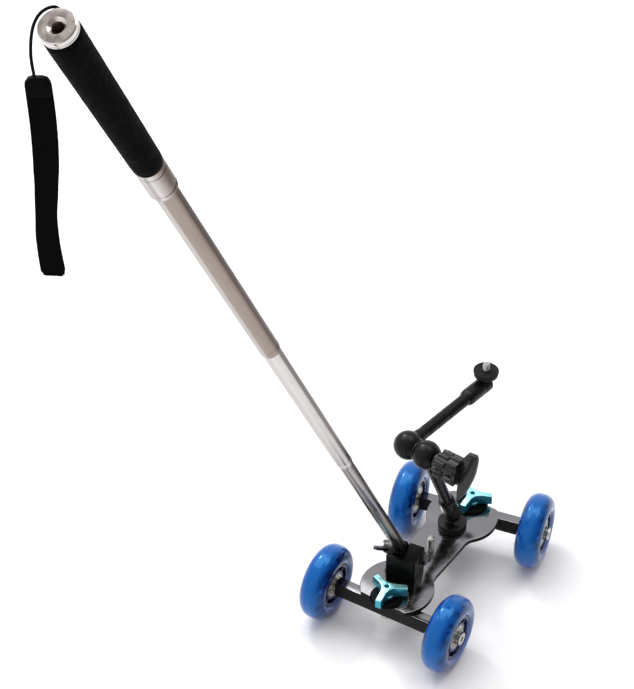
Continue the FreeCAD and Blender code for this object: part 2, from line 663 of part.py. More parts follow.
def hub_face(side, reach):
    """A block that cuts the elbow hub flat on one side."""
    wide = size("hub_ball_r") * 2
    return box("hub_ball_r * 2", "hub_ball_r * 3", "hub_ball_r * 3",
               at(side * (reach + wide / 2), 0, size("arm_reach") - wide * 3 / 4))


def lower_arm():
    link, hollows = arm_link("lower_r", "lower_top_r")
    half = size("hub_spacing") / 2
    hollows.append(cylinder("elbow_bolt_r + run_gap", "hub_spacing * 2",
                            at(-size("hub_spacing"), 0, size("arm_reach"), ALONG_HINGE)))
    hollows.append(hub_face(-1, half - HUB_INSET))
    hollows.append(hub_face(1, half))
    name_part(cut(link, *hollows), "lower_arm", LOWER)


def upper_arm():
    """Same kind of link turned end for end; its cup has a side slot for the camera ball's neck."""
    link, hollows = arm_link("upper_r", "upper_r")
    half = size("hub_spacing") / 2
    hollows.append(box("neck_slot", "cup_r * 2", "neck_slot_tall",
                       at(0, size("cup_r"), -size("neck_slot_tall") / 2)))
    blind = at(-size("elbow_bolt_blind"), 0, size("arm_reach"), ALONG_HINGE)
    hollows.append(cylinder("elbow_bolt_r", "hub_spacing * 2", blind))
    hollows.append(hub_face(1, half - HUB_INSET))
    flip = UPPER.multiply(at(0, 0, size("arm_reach"), about("x", 180)))
    name_part(cut(link, *hollows), "upper_arm", flip)


ROD_START = 0.2


def push_rod(label, place):
    low = size("ball_r") + ROD_START
    name_part(cylinder("rod_r", "arm_reach - elbow_bolt_r - rod_wall * 2 - ball_r", at(0, 0, low)),
              label, place)


def elbow_bolt():
    start = -size("hub_spacing") - size("elbow_bolt_blind")
    long = "elbow_bolt_blind + hub_spacing + elbow_bolt_past"
    name_part(cylinder("elbow_bolt_r", long, at(start, 0, 0, ALONG_HINGE)), "elbow_bolt", ELBOW_LOWER)


def elbow_washer():
    bore = "elbow_bolt_r + run_gap"
    ring = turned([
        (bore, "0"), ("elbow_washer_r", "0"), ("elbow_washer_r", "elbow_washer_tall"),
        (bore, "elbow_washer_tall")])
    start = HUB_INSET - size("elbow_washer_tall") - size("hub_spacing") / 2
    name_part(ring, "elbow_washer", ELBOW_LOWER.multiply(at(start, 0, 0, ALONG_HINGE)))


CLAMP_GAP = 0.3
RIB_TURN = 36


def elbow_knob():
    """Clamp knob: a neck, two staggered rings of ribs and a flat thumb wing in the plane of its axis."""
    start = size("hub_spacing") / 2 + CLAMP_GAP
    neck = cylinder("clamp_neck_r", "clamp_neck + 1")
    core = cylinder("clamp_r", "clamp_long", at(0, 0, size("clamp_neck")))
    ribs = []
    for ring in (0, 1):
        rise = size("clamp_neck") + size("clamp_rib_start") + size("clamp_rib_step") * ring
        for turn in range(0, 360, RIB_TURN):
            angle = turn + RIB_TURN / 2 * ring
            spot = about("z", angle).multVec(FreeCAD.Vector(size("clamp_r"), 0, rise))
            ribs.append(cylinder("clamp_rib_r", "clamp_rib_long", at(*spot)))
    wing = plate([
        ("-17", "26.5"), ("-24.5", "31"), ("-25.5", "39"), ("-17", "41"), ("-7", "40.8"), ("8", "37"),
        ("19", "33"), ("26", "29"), ("26.5", "27"), ("11", "25.5"), ("8", "22"), ("-8", "22"),
        ("-11", "25")], "wing_thick", "XZ_Plane")
    bore = cylinder("elbow_bolt_r + run_gap", "clamp_bore_deep")
    place = ELBOW_LOWER.multiply(at(start, 0, 0, ALONG_HINGE))
    place = place.multiply(at(0, 0, 0, about("z", CLAMP_TURN)))
    name_part(cut(fuse(neck, core, wing, *ribs), bore), "elbow_knob", place)


def camera_pad():
    bore = "shank_r + run_gap"
    low = "pad_top - pad_tall"
    name_part(turned([
        (bore, low), ("pad_r", low), ("pad_r", "pad_top - edge_break"), ("pad_r - edge_break", "pad_top"),
        (bore, "pad_top")]), "camera_pad", CAMERA_BALL)


# ---------------------------------------------------------------- assembly

base_plate()
centre_stud()
ENDS = (("front", -1, FRONT_YAW, KNOB_YAWS[0]), ("rear", 1, REAR_YAW, KNOB_YAWS[1]))
for end_name, side, yaw, knob_yaw in ENDS:
    knob_washer(end_name + "_washer", side)
    axle_beam(end_name + "_axle_beam", side, yaw)
    pivot_bolt(end_name + "_pivot_bolt", side, yaw)
    lock_knob(end_name + "_lock_knob", side, knob_yaw)
    wheel(end_name + "_left", side, -1, yaw)
    wheel(end_name + "_right", side, 1, yaw)
bracket_block()
bracket_screw()
hinge_bolt()
wing_nut()
pole_socket()
for tube_number in (1, 2, 3, 4):
    pole_tube(tube_number)
grip_ferrule()
foam_grip()
end_cap()
strap_cord()
strap_band()
arm_foot_stud()
foot_disc_at = FreeCAD.Placement(ARM_FOOT_AT, FreeCAD.Rotation())
lock_disc("arm_foot_disc", foot_disc_at, "stud_r + run_gap", "disc_r", "disc_foot", "disc_tall")
lower_arm()
push_rod("lower_push_rod", LOWER)
elbow_bolt()
elbow_washer()
upper_arm()
push_rod("upper_push_rod", UPPER.multiply(at(0, 0, size("arm_reach"), about("x", 180))))
elbow_knob()
camera_stud()
lock_disc("camera_disc", CAMERA_BALL, "shank_r + run_gap", "camera_disc_r", "camera_disc_low",
          "camera_disc_top")
camera_pad()

doc.recompute()
failed = [item.Name for item in doc.Objects if "Invalid" in item.State or "Error" in item.State]
if failed:
    raise RuntimeError("failed objects: " + ", ".join(failed))
os.makedirs("parts", exist_ok=True)
for item in sub_parts:
    if item.Shape.isNull() or not item.Shape.isValid():
        raise RuntimeError("bad shape: " + item.Label)
    item.Shape.exportStep("parts/" + item.Label + ".step")
print("sub-parts:", len(sub_parts))
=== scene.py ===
import json
from math import asin, atan2, cos, degrees, exp, hypot, pi, radians, sin, sqrt, tan

import bmesh
import bpy
from mathutils import Matrix, Vector


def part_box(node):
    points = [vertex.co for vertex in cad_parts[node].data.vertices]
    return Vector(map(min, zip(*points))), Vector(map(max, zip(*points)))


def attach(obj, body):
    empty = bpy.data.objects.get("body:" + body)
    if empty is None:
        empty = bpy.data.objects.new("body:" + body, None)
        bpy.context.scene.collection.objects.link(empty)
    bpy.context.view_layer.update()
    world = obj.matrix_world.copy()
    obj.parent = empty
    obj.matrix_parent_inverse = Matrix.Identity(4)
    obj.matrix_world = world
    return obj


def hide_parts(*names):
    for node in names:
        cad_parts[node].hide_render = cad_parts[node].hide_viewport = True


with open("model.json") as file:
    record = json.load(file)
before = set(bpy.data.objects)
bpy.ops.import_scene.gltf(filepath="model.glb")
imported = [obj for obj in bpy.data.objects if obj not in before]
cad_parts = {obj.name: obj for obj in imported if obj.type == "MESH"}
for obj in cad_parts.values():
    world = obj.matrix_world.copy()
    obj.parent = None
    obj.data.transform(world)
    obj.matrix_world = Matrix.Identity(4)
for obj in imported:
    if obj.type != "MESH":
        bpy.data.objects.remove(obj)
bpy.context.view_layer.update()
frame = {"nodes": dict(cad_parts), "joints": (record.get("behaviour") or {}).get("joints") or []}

MM = 0.001
JOINTS = {joint["name"]: joint for joint in frame["joints"]}
UP = Vector((0, 0, 1))
PITCH = 1.27  # quarter-inch thread, 20 turns to the inch
THREAD_R = 3.175  # outside radius of a quarter-inch screw
BOLT_R = 3.0  # radius of every plain M6 shank


# -------- places


def spot(name):
    return Vector(JOINTS[name]["pos_m"])


def axis(name):
    return Vector(JOINTS[name]["axis"]).normalized()


def place_at(origin, along, across):
    """A place whose local Z is along and whose local X is as near to across as it can be."""
    z = along.normalized()
    x = (across - z * across.dot(z)).normalized()
    place = Matrix((x, z.cross(x), z)).transposed().to_4x4()
    place.translation = origin
    return place


def moved(place, x=0, y=0, z=0):
    return place @ Matrix.Translation(Vector((x, y, z)) * MM)


def turned(place, around, angle):
    return place @ Matrix.Rotation(radians(angle), 4, around)


def on_deck(pivot):
    """A place on the deck's top face, over a joint."""
    return Matrix.Translation((pivot.x, pivot.y, DECK_TOP))


DECK_LOW, DECK_TOP = (corner[2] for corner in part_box("base_plate"))
FLOOR_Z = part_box("front_left_tyre")[0][2]
DECK = Matrix.Translation((0, 0, DECK_TOP))
BRACKET = place_at(spot("bracket_swivel"), UP, axis("pole_tilt"))
POLE = place_at(spot("pole_tilt"), axis("pole_slide_1"), axis("pole_tilt"))
HINGE = place_at(spot("pole_tilt"), axis("pole_tilt"), UP)
ARM_SIDE = axis("elbow")
HUB_SPACING = 20.0
ELBOW_LOW = spot("elbow") + ARM_SIDE * HUB_SPACING * MM
LOWER = place_at(spot("arm_tilt"), ELBOW_LOW - spot("arm_tilt"), ARM_SIDE)
UPPER = place_at(spot("elbow"), spot("camera_tilt") - spot("elbow"), ARM_SIDE)
ELBOW = place_at(ELBOW_LOW, ARM_SIDE, UP)
CAMERA_SEAT = place_at(spot("camera_tilt"), UP, ARM_SIDE)
REACH = (ELBOW_LOW - spot("arm_tilt")).length / MM


# -------- camera and light

CAMERA_PLACE = (0.61588, -1.06332, 1.23205)
CAMERA_AZIMUTH, CAMERA_ELEVATION = 34.86, 39.057
CAMERA_LENS = 99.96
ROOM_TONES = (  # from the bright side of the room, at -X, to the dim one
    (0.0, 1.0), (0.3, (0.72, 0.7, 0.69)), (0.62, (0.36, 0.31, 0.285)), (1.0, (0.2, 0.17, 0.16)))
LIGHTS = (  # name, place, size, watts; all point at the deck's middle
    ("key_box", (-0.9, 0.2, 1.6), (1.4, 1.4), 15),
    ("glint", (-1.0, 0.4, 1.2), (0.16, 0.16), 4),
    ("overhead", (0.3, 0.6, 1.9), (1.2, 1.0), 9),
)
FLOOR_REACH = 6.0


def linked(name, data):
    thing = bpy.data.objects.new(name, data)
    bpy.context.scene.collection.objects.link(thing)
    return thing


def rgb(colour):
    """A colour, or a grey given as one number."""
    return (colour, colour, colour) if isinstance(colour, float) else colour


def set_stops(node, stops):
    elements = node.color_ramp.elements
    while len(elements) < len(stops):
        elements.new(1.0)
    for element, (position, colour) in zip(elements, stops):
        element.position = position
        element.color = (*rgb(colour), 1)


def add_camera():
    """Long lens, from above on the pole's side, looking down at the dolly."""
    camera = linked("camera", bpy.data.cameras.new("camera"))
    camera.data.lens = CAMERA_LENS
    camera.data.sensor_width = 36.0
    camera.data.clip_end = 20
    camera.location = CAMERA_PLACE
    camera.rotation_euler = (pi / 2 - radians(CAMERA_ELEVATION), 0, radians(CAMERA_AZIMUTH))
    bpy.context.scene.camera = camera


def add_area(name, place, size, watts):
    light = bpy.data.lights.new(name, "AREA")
    light.shape = "RECTANGLE"
    light.size, light.size_y = size
    light.energy = watts
    lamp = linked(name, light)
    lamp.location = place
    lamp.rotation_euler = (-Vector(place)).to_track_quat("-Z", "Y").to_euler()


def add_studio():
    world = bpy.data.worlds.new("studio")
    bpy.context.scene.world = world
    world.use_nodes = True
    nodes, links = world.node_tree.nodes, world.node_tree.links
    back = nodes["Background"]
    back.inputs["Strength"].default_value = 1.0
    spread = nodes.new("ShaderNodeTexCoord")
    split = nodes.new("ShaderNodeSeparateXYZ")
    ramp = nodes.new("ShaderNodeValToRGB")
    links.new(spread.outputs["Generated"], split.inputs[0])
    links.new(split.outputs["X"], ramp.inputs[0])
    links.new(ramp.outputs[0], back.inputs["Color"])
    set_stops(ramp, ROOM_TONES)
    for light in LIGHTS:
        add_area(*light)
    bpy.context.scene.view_settings.view_transform = "Standard"
    corners = rectangle(-FLOOR_REACH, FLOOR_REACH, -FLOOR_REACH, FLOOR_REACH)
    floor = linked("floor", mesh_of([(x, y, FLOOR_Z) for x, y in corners], [(0, 1, 2, 3)]))
    floor.data.materials.append(coat("floor_paper", (0.93, 0.93, 0.945), 0.55,
                                     tone=(1.5, 3, (0.92, 0.92, 0.94), (0.94, 0.94, 0.955))))


# -------- materials


class Paint:
    """A node material with a Principled shader and short calls for the nodes that feed it."""

    def __init__(self, name, colour, rough, metal=0.0, **fixed):
        self.material = bpy.data.materials.new(name)
        self.material.use_nodes = True
        self.material.diffuse_color = (*rgb(colour), 1)
        self.nodes = self.material.node_tree.nodes
        self.links = self.material.node_tree.links
        self.shader = self.nodes["Principled BSDF"]
        self.shader.inputs["Base Color"].default_value = (*rgb(colour), 1)
        self.shader.inputs["Roughness"].default_value = rough
        self.shader.inputs["Metallic"].default_value = metal
        for socket, value in fixed.items():
            self.shader.inputs[socket.replace("_", " ")].default_value = value
        self.place = self.add("ShaderNodeTexCoord").outputs["Object"]

    def add(self, kind, **settings):
        node = self.nodes.new(kind)
        for key, value in settings.items():
            setattr(node, key, value)
        return node

    def join(self, source, target):
        self.links.new(source, target)

    def texture(self, kind, source=None, settings=(), **values):
        """A texture node that reads the piece's own coordinates."""
        node = self.add(kind, **dict(settings))
        for socket, value in values.items():
            node.inputs[socket].default_value = value
        self.join(source or self.place, node.inputs["Vector"])
        return node

    def noise(self, scale, detail=3.0, rough=0.5, source=None):
        node = self.texture("ShaderNodeTexNoise", source, Scale=scale, Detail=detail, Roughness=rough)
        return node.outputs["Fac"]

    def stretched(self, scale):
        return self.texture("ShaderNodeMapping", Scale=scale).outputs["Vector"]

    def ramp(self, source, *stops):
        """Colour or grey ramp from (position, colour) stops."""
        node = self.add("ShaderNodeValToRGB")
        set_stops(node, stops)
        self.join(source, node.inputs[0])
        return node.outputs[0]

    def clouds(self, scale, detail, low, high, at=(0.3, 0.7)):
        """Two shades mixed by a noise; at holds where in the noise each of them is reached."""
        return self.ramp(self.noise(scale, detail), *zip(at, (low, high)))

    def attribute(self, name):
        return self.add("ShaderNodeAttribute", attribute_name=name).outputs["Fac"]

    def bump(self, source, strength, distance):
        node = self.add("ShaderNodeBump")
        node.inputs["Strength"].default_value = strength
        node.inputs["Distance"].default_value = distance
        self.join(source, node.inputs["Height"])
        self.join(node.outputs["Normal"], self.shader.inputs["Normal"])

    def colour(self, source):
        self.join(source, self.shader.inputs["Base Color"])

    def rough(self, source):
        self.join(source, self.shader.inputs["Roughness"])


def coat(name, colour, rough, metal=0.0, tone=(), gloss=(), grain=(), **fixed):
    """Finish with clouded colour (tone), clouded roughness (gloss) and a fine bump (grain).

    tone and gloss go to Paint.clouds; grain holds the noise's scale and detail, the bump's strength and
    distance, and a drawn-out noise's scale along each axis.
    """
    paint = Paint(name, colour, rough, metal, **fixed)
    if tone:
        paint.colour(paint.clouds(*tone))
    if gloss:
        paint.rough(paint.clouds(*gloss))
    if grain:
        scale, detail, strength, distance, *drawn = grain
        source = paint.stretched(drawn) if drawn else None
        paint.bump(paint.noise(scale, detail, source=source), strength, distance)
    return paint.material


def black_alloy(name="black_alloy", shade=0.0012, rough=0.34):
    """Black anodised aluminium with a fine bead-blasted grain and paler worn edges."""
    paint = Paint(name, shade, rough, Specular_IOR_Level=0.08)
    wear = paint.add("ShaderNodeNewGeometry").outputs["Pointiness"]
    paint.colour(paint.ramp(wear, (0.5, shade), (0.58, shade * 3)))
    paint.rough(paint.clouds(240, 4, rough - 0.05, rough + 0.08))
    paint.bump(paint.noise(2600, 2), 0.08, 0.0002)
    return paint.material


def black_plastic(name="moulded_black", gloss=0.24, rough=0.2):
    """Moulded nylon with a fine spark-eroded grain."""
    return coat(name, 0.004, rough, tone=(80, 3, 0.003, 0.007),
                gloss=(500, 4, rough, rough + 0.12), grain=(2200, 4, 0.08, 0.0003),
                Specular_IOR_Level=gloss)


def tube_with_painted_reflection(name, painted_reflection_tones):
    """Drawn stainless tube: lines along its length, and a painted reflection and painted shade round it,
    duller on one flank and dark at that edge.
    """
    paint = Paint(name, (0.6, 0.58, 0.56), 0.2, 1.0, Specular_Tint=(0.62, 0.59, 0.57, 1))
    # painted reflection and painted shade, read from how far round the pole each point lies
    tone = paint.ramp(paint.attribute("around"), *painted_reflection_tones)
    lines = paint.noise(700, 3, source=paint.stretched((1, 0.02, 0.02)))
    streaks = paint.ramp(lines, (0.3, 0.8), (0.7, 1.0))
    blend = paint.add("ShaderNodeMix", data_type="RGBA", blend_type="MULTIPLY")
    paint.join(tone, blend.inputs["A"])
    paint.join(streaks, blend.inputs["B"])
    paint.colour(blend.outputs["Result"])
    paint.rough(paint.clouds(60, 5, 0.16, 0.26, (0.35, 0.75)))
    return paint.material


# painted reflection and painted shade round a tube, from its left flank, 0, to its right one, 1, near black
# at the right edge
WARM_PAINTED_REFLECTION = ((0.0, (0.56, 0.55, 0.54)), (0.2, (0.68, 0.66, 0.64)), (0.4, (0.62, 0.6, 0.58)),
              (0.46, (0.39, 0.34, 0.305)), (0.84, (0.36, 0.305, 0.27)), (0.92, (0.27, 0.22, 0.19)),
              (0.97, (0.1, 0.085, 0.082)))
SILVER_PAINTED_REFLECTION = ((0.0, (0.62, 0.61, 0.6)), (0.2, (0.76, 0.75, 0.735)), (0.45, (0.68, 0.66, 0.64)),
                (0.6, (0.76, 0.75, 0.735)), (0.9, (0.68, 0.66, 0.645)), (0.965, (0.2, 0.19, 0.185)))
COLLAR_PAINTED_REFLECTION = ((0.0, (0.5, 0.49, 0.48)), (0.3, (0.74, 0.71, 0.69)), (0.42, (0.45, 0.42, 0.4)),
                (0.55, (0.75, 0.73, 0.71)), (0.74, (0.5, 0.46, 0.44)), (0.88, (0.3, 0.25, 0.22)),
                (0.96, (0.14, 0.12, 0.11)))
STREAKED_PAINTED_REFLECTION = ((0.0, (0.2, 0.195, 0.19)), (0.2, (0.5, 0.49, 0.48)), (0.38, (0.19, 0.175, 0.165)),
                  (0.5, (0.46, 0.45, 0.44)), (0.62, (0.16, 0.15, 0.15)), (0.74, (0.62, 0.61, 0.6)),
                  (0.88, (0.4, 0.38, 0.36)), (0.96, (0.12, 0.11, 0.11)))


def turned_face(name, dull, clear):
    """Dull nickel of the end cap's face and thread, cloudy with wear."""
    return coat(name, clear, 0.38, 1.0, (130, 4, dull, clear, (0.38, 0.66)), (700, 4, 0.3, 0.46))


def teal_anodised(name, base, pale, rough):
    """Cyan-teal anodising over machined faces."""
    return coat(name, base, rough, 0.75, (120, 3, base, pale), (500, 4, rough - 0.05, rough + 0.06))


def blue_urethane():
    """Translucent cast urethane: clear blue tread, darker mottled shoulder, lilac side wall."""
    paint = Paint("blue_urethane", (0.01, 0.12, 0.42), 0.24, Subsurface_Weight=0.12, Subsurface_Scale=0.004,
                  Specular_IOR_Level=0.9, Specular_Tint=(0.12, 0.55, 1.0, 1),
                  Coat_Weight=0.12, Coat_Roughness=0.08, Subsurface_Radius=(0.2, 0.6, 1.0))
    side = paint.attribute("side")
    plain = paint.ramp(side, (0.0, (0.003, 0.085, 0.36)), (0.34, (0.002, 0.07, 0.33)),
                       (0.48, (0.002, 0.035, 0.21)), (0.62, (0.004, 0.035, 0.2)),
                       (0.8, (0.09, 0.12, 0.34)), (1.0, (0.14, 0.17, 0.4)))
    blots = paint.ramp(paint.noise(125, 4, 0.6), (0.46, 0.0), (0.53, 1.0))
    band = paint.ramp(side, (0.2, 0.0), (0.36, 1.0), (0.58, 1.0), (0.72, 0.0))
    mask = paint.add("ShaderNodeMath", operation="MULTIPLY")
    paint.join(blots, mask.inputs[0])
    paint.join(band, mask.inputs[1])
    blend = paint.add("ShaderNodeMix", data_type="RGBA")
    paint.join(mask.outputs[0], blend.inputs["Factor"])
    paint.join(plain, blend.inputs["A"])
    blend.inputs["B"].default_value = (0.001, 0.006, 0.09, 1)
    paint.colour(blend.outputs["Result"])
    paint.rough(paint.clouds(200, 4, 0.13, 0.24))
    paint.bump(paint.noise(260, 3), 0.05, 0.0003)
    return paint.material


def foam():
    """Closed-cell foam with a pebbled skin."""
    paint = Paint("black_foam", (0.0015, 0.0015, 0.002), 0.7, Specular_IOR_Level=0.03)
    cells = paint.texture("ShaderNodeTexVoronoi", settings={"feature": "SMOOTH_F1"}, Scale=1300)
    paint.colour(paint.clouds(70, 4, (0.0012, 0.0012, 0.0015), (0.003, 0.003, 0.0033)))
    paint.rough(paint.clouds(400, 4, 0.6, 0.8))
    paint.bump(cells.outputs["Distance"], 0.2, 0.0004)
    return paint.material


def webbing():
    """Flat woven polyester: rows of weft across the band."""
    paint = Paint("webbing", 0.002, 0.85, Specular_IOR_Level=0.06)
    rows = {"wave_type": "BANDS", "bands_direction": "Z"}
    wave = paint.texture("ShaderNodeTexWave", settings=rows, Scale=260, Distortion=1.5, Detail=1)
    paint.colour(paint.ramp(wave.outputs["Fac"], (0.2, 0.001), (0.8, 0.003)))
    paint.bump(wave.outputs["Fac"], 0.4, 0.0005)
    return paint.material


def cord_braid():
    """Tight braid of a thin cord."""
    paint = Paint("cord_braid", 0.003, 0.7, Specular_IOR_Level=0.12)
    braid = paint.texture("ShaderNodeTexVoronoi", Scale=1500).outputs["Distance"]
    paint.colour(paint.ramp(braid, (0.1, 0.005), (0.7, 0.002)))
    paint.bump(braid, 0.5, 0.0003)
    return paint.material


MAT = {
    # mirror-like anodising of the deck, with faint cloudiness and fine scratches
    "deck": coat("deck_anodised", (0.24, 0.235, 0.25), 0.14, 1.0,
                 (28, 4, (0.225, 0.22, 0.235), (0.26, 0.255, 0.27), (0.3, 0.75)),
                 (160, 5, 0.11, 0.18, (0.35, 0.7))),
    "alloy": black_alloy(),
    # smooth satin enamel of the camera arm
    "satin": coat("satin_black", 0.004, 0.22, 0.0, (60, 3, 0.003, 0.006), (420, 4, 0.2, 0.28),
                  (1800, 3, 0.05, 0.0002), Specular_IOR_Level=0.17),
    "plastic": black_plastic(),
    "beam": black_alloy("beam_alloy", 0.004),
    "ribbed": black_plastic("ribbed_black", 0.42, 0.08),
    # nickel-plated steel with faint lathe rings and tarnish
    "steel": coat("bright_steel", (0.72, 0.71, 0.68), 0.25, 1.0,
                  (140, 4, (0.34, 0.33, 0.315), (0.62, 0.61, 0.59)), (700, 4, 0.18, 0.34),
                  (1600, 2, 0.08, 0.0002, 0.2, 0.2, 3)),
    "dark": coat("dark_steel", (0.06, 0.06, 0.062), 0.3, 1.0, (220, 4, (0.045, 0.045, 0.047), 0.09),
                 (600, 4, 0.24, 0.38), (1500, 3, 0.08, 0.0002)),
    "chrome": coat("chrome", (0.78, 0.76, 0.73), 0.12, 1.0,
                   (90, 4, (0.7, 0.67, 0.64), (0.8, 0.78, 0.75), (0.35, 0.7)), (300, 4, 0.08, 0.2)),
    # tube finishes with a painted reflection and painted shade round them
    "warm_painted_reflection": tube_with_painted_reflection("warm_tube_painted_reflection", WARM_PAINTED_REFLECTION),
    "silver_painted_reflection": tube_with_painted_reflection("silver_tube_painted_reflection", SILVER_PAINTED_REFLECTION),
    "streaked_painted_reflection": tube_with_painted_reflection("streaked_tube_painted_reflection", STREAKED_PAINTED_REFLECTION),
    "collar_painted_reflection": tube_with_painted_reflection("collar_painted_reflection", COLLAR_PAINTED_REFLECTION),
    "nickel": turned_face("turned_nickel", (0.16, 0.135, 0.125), (0.36, 0.33, 0.31)),
    "bore": turned_face("thread_bore", (0.1, 0.065, 0.05), (0.2, 0.14, 0.115)),
    "teal": teal_anodised("teal_anodised", (0.03, 0.3, 0.43), (0.06, 0.42, 0.56), 0.26),
    # paler copy of the teal for the knobs' top faces: a painted highlight
    "teal_painted_highlight": teal_anodised("teal_painted_highlight_top", (0.3, 0.8, 0.88), (0.45, 0.9, 0.96), 0.22),
    "urethane": blue_urethane(),
    "core": coat("core_plastic", (0.02, 0.04, 0.2), 0.28, 0.0,
                 (140, 3, (0.006, 0.012, 0.07), (0.012, 0.024, 0.13)), (500, 4, 0.22, 0.36)),
    "shield": coat("bearing_shield", (0.5, 0.48, 0.3), 0.3, 1.0,
                   (200, 3, (0.2, 0.2, 0.13), (0.42, 0.41, 0.3)), (500, 4, 0.22, 0.38)),
    "foam": foam(),
    "rubber": coat("pad_rubber", 0.006, 0.7, 0.0, (150, 4, 0.005, 0.01), (300, 4, 0.6, 0.8),
                   (1400, 4, 0.2, 0.0004), Specular_IOR_Level=0.2),
    "webbing": webbing(),
    "braid": cord_braid(),
    "print": coat("scale_print", (0.42, 0.42, 0.43), 0.5,
                  tone=(400, 3, (0.36, 0.36, 0.37), (0.5, 0.5, 0.51))),
    # soft tab of the strap, with a fine grain
    "leather": coat("tab_leather", 0.002, 0.6, tone=(300, 4, 0.0015, 0.003), grain=(1500, 4, 0.3, 0.0003),
                    Specular_IOR_Level=0.06),
}


# -------- mesh tools


def mesh_of(verts, faces):
    mesh = bpy.data.meshes.new("part")
    mesh.from_pydata(verts, [], faces)
    return mesh


def finished(name, meshes, finish, body, node=None, smooth=35):
    """One piece from its meshes: linked, shaded, and tied to its finish, body and CAD node."""
    sculpt = bmesh.new()
    for mesh in meshes:
        sculpt.from_mesh(mesh)
    bmesh.ops.remove_doubles(sculpt, verts=sculpt.verts, dist=1e-6)
    bmesh.ops.recalc_face_normals(sculpt, faces=sculpt.faces)
    whole = bpy.data.meshes.new(name)
    sculpt.to_mesh(whole)
    sculpt.free()
    whole.shade_smooth()
    whole.set_sharp_from_angle(angle=radians(smooth))
    piece = linked(name, whole)
    whole.materials.append(MAT[finish])
    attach(piece, body)
    if node:
        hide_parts(node)
    return piece


def bent(start, control, end, t):
    """Point at t on a curve from start to end that control pulls."""
    return tuple(start * (1 - t) ** 2 + control * 2 * t * (1 - t) + end * t ** 2)


def eased(points, radius, closed=False, steps=3):
    """Round the corners of a profile; corners on the axis stay sharp."""
    result = []
    count = len(points)
    for i, point in enumerate(points):
        corner = Vector(point)
        at_end = not closed and i in (0, count - 1)
        if at_end or corner.x < 1e-6:
            result.append(tuple(corner))
            continue
        before = Vector(points[i - 1]) - corner
        after = Vector(points[(i + 1) % count]) - corner
        turn = before.angle(after)
        reach = min(radius / max(tan(turn / 2), 0.05), before.length * 0.45, after.length * 0.45)
        if reach < 1e-4 or turn > radians(172):
            result.append(tuple(corner))
            continue
        start, end = corner + before.normalized() * reach, corner + after.normalized() * reach
        result += [bent(start, corner, end, step / steps) for step in range(steps + 1)]
    return result


def spun(points, place, steps=72, ease=0.3, closed=False, wobble=None):
    """Mesh turned about local Z from a (radius, height) profile in millimetres."""
    profile = eased(points, ease, closed) if ease else points
    verts, rings = [], []
    for radius, height in profile:
        first = len(verts)
        for step in range(steps if radius > 1e-6 else 1):
            angle = 2 * pi * step / steps
            r = radius + (wobble(angle, height, radius) if wobble else 0)
            verts.append(place @ (Vector((r * cos(angle), r * sin(angle), height)) * MM))
        rings.append(range(first, len(verts)))
    pairs = list(zip(rings, rings[1:]))
    if closed:
        pairs.append((rings[-1], rings[0]))
    faces = []
    for low, high in pairs:
        for step in range(steps):
            after = (step + 1) % steps
            around = ((low, step), (low, after), (high, after), (high, step))
            corners = [ring[i % len(ring)] for ring, i in around]
            faces.append(tuple(dict.fromkeys(corners)))  # a ring on the axis is one point
    return mesh_of(verts, faces)


def lathe(name, points, place, finish, body, node=None, slot=None, **shape):
    return finished(name, [spun(points, place, **shape)], finish, body, node)


def mesh_from(curve):
    """The mesh a curve evaluates to; the curve itself is dropped."""
    holder = linked("holder", curve)
    bpy.context.view_layer.update()
    mesh = bpy.data.meshes.new_from_object(holder.evaluated_get(bpy.context.evaluated_depsgraph_get()))
    bpy.data.objects.remove(holder)
    bpy.data.curves.remove(curve)
    return mesh


def slab(outline, low, high, place, holes=(), bevel=0.0):
    """Solid of even height from closed outlines in millimetres, with rolled edges."""
    curve = bpy.data.curves.new("outline", "CURVE")
    curve.dimensions = "2D"
    curve.fill_mode = "BOTH"
    curve.extrude = (high - low) / 2 - bevel
    curve.bevel_depth = bevel
    curve.bevel_resolution = 2
    curve.offset = -bevel
    for loop in (outline, *holes):
        spline = curve.splines.new("POLY")
        spline.points.add(len(loop) - 1)
        for point, (x, y) in zip(spline.points, loop):
            point.co = (x, y, 0, 1)
        spline.use_cyclic_u = True
    mesh = mesh_from(curve)
    mesh.transform(place @ Matrix.Scale(MM, 4) @ Matrix.Translation((0, 0, (low + high) / 2)))
    return mesh


def refaced(piece, finish, wanted):
    """Give the faces that wanted(normal, centre) picks a second finish."""
    piece.data.materials.append(MAT[finish])
    for face in piece.data.polygons:
        if wanted(face.normal, face.center):
            face.material_index = len(piece.data.materials) - 1


def circle(radius, steps=48):
    angles = [2 * pi * i / steps for i in range(steps)]
    return [(radius * cos(angle), radius * sin(angle)) for angle in angles]


def rectangle(x0, x1, y0, y1):
    """Four corners: a plate's outline, or the profile of a plain shaft or ring."""
    return [(x0, y0), (x1, y0), (x1, y1), (x0, y1)]


def chamfered(x0, x1, y0, y1, chamfer, notch=()):
    """Rectangle with cut corners and, on its y1 side, a notch's points from right to left."""
    return [(x0 + chamfer, y0), (x1 - chamfer, y0), (x1, y0 + chamfer), (x1, y1 - chamfer),
            (x1 - chamfer, y1), *notch, (x0 + chamfer, y1), (x0, y1 - chamfer), (x0, y0 + chamfer)]


def arc(centre, radius, start, end, steps):
    """Points on an arc, angles in degrees."""
    points = []
    for i in range(steps + 1):
        angle = radians(start + (end - start) * i / steps)
        points.append((centre[0] + radius * cos(angle), centre[1] + radius * sin(angle)))
    return points


def ball_profile(radius, centre, start, end, steps):
    """Profile points of a ball from one latitude to another; the poles lie on the axis."""
    return [(0.0 if r < 1e-4 else r, z) for r, z in arc((0, centre), radius, start, end, steps)]


def grid_faces(rows, count):
    """Faces between rings of equal length, one ring after the other."""
    faces = []
    for row in range(rows):
        for step in range(count):
            after = (step + 1) % count
            a, b = row * count, (row + 1) * count
            faces.append((a + step, a + after, b + after, b + step))
    return faces


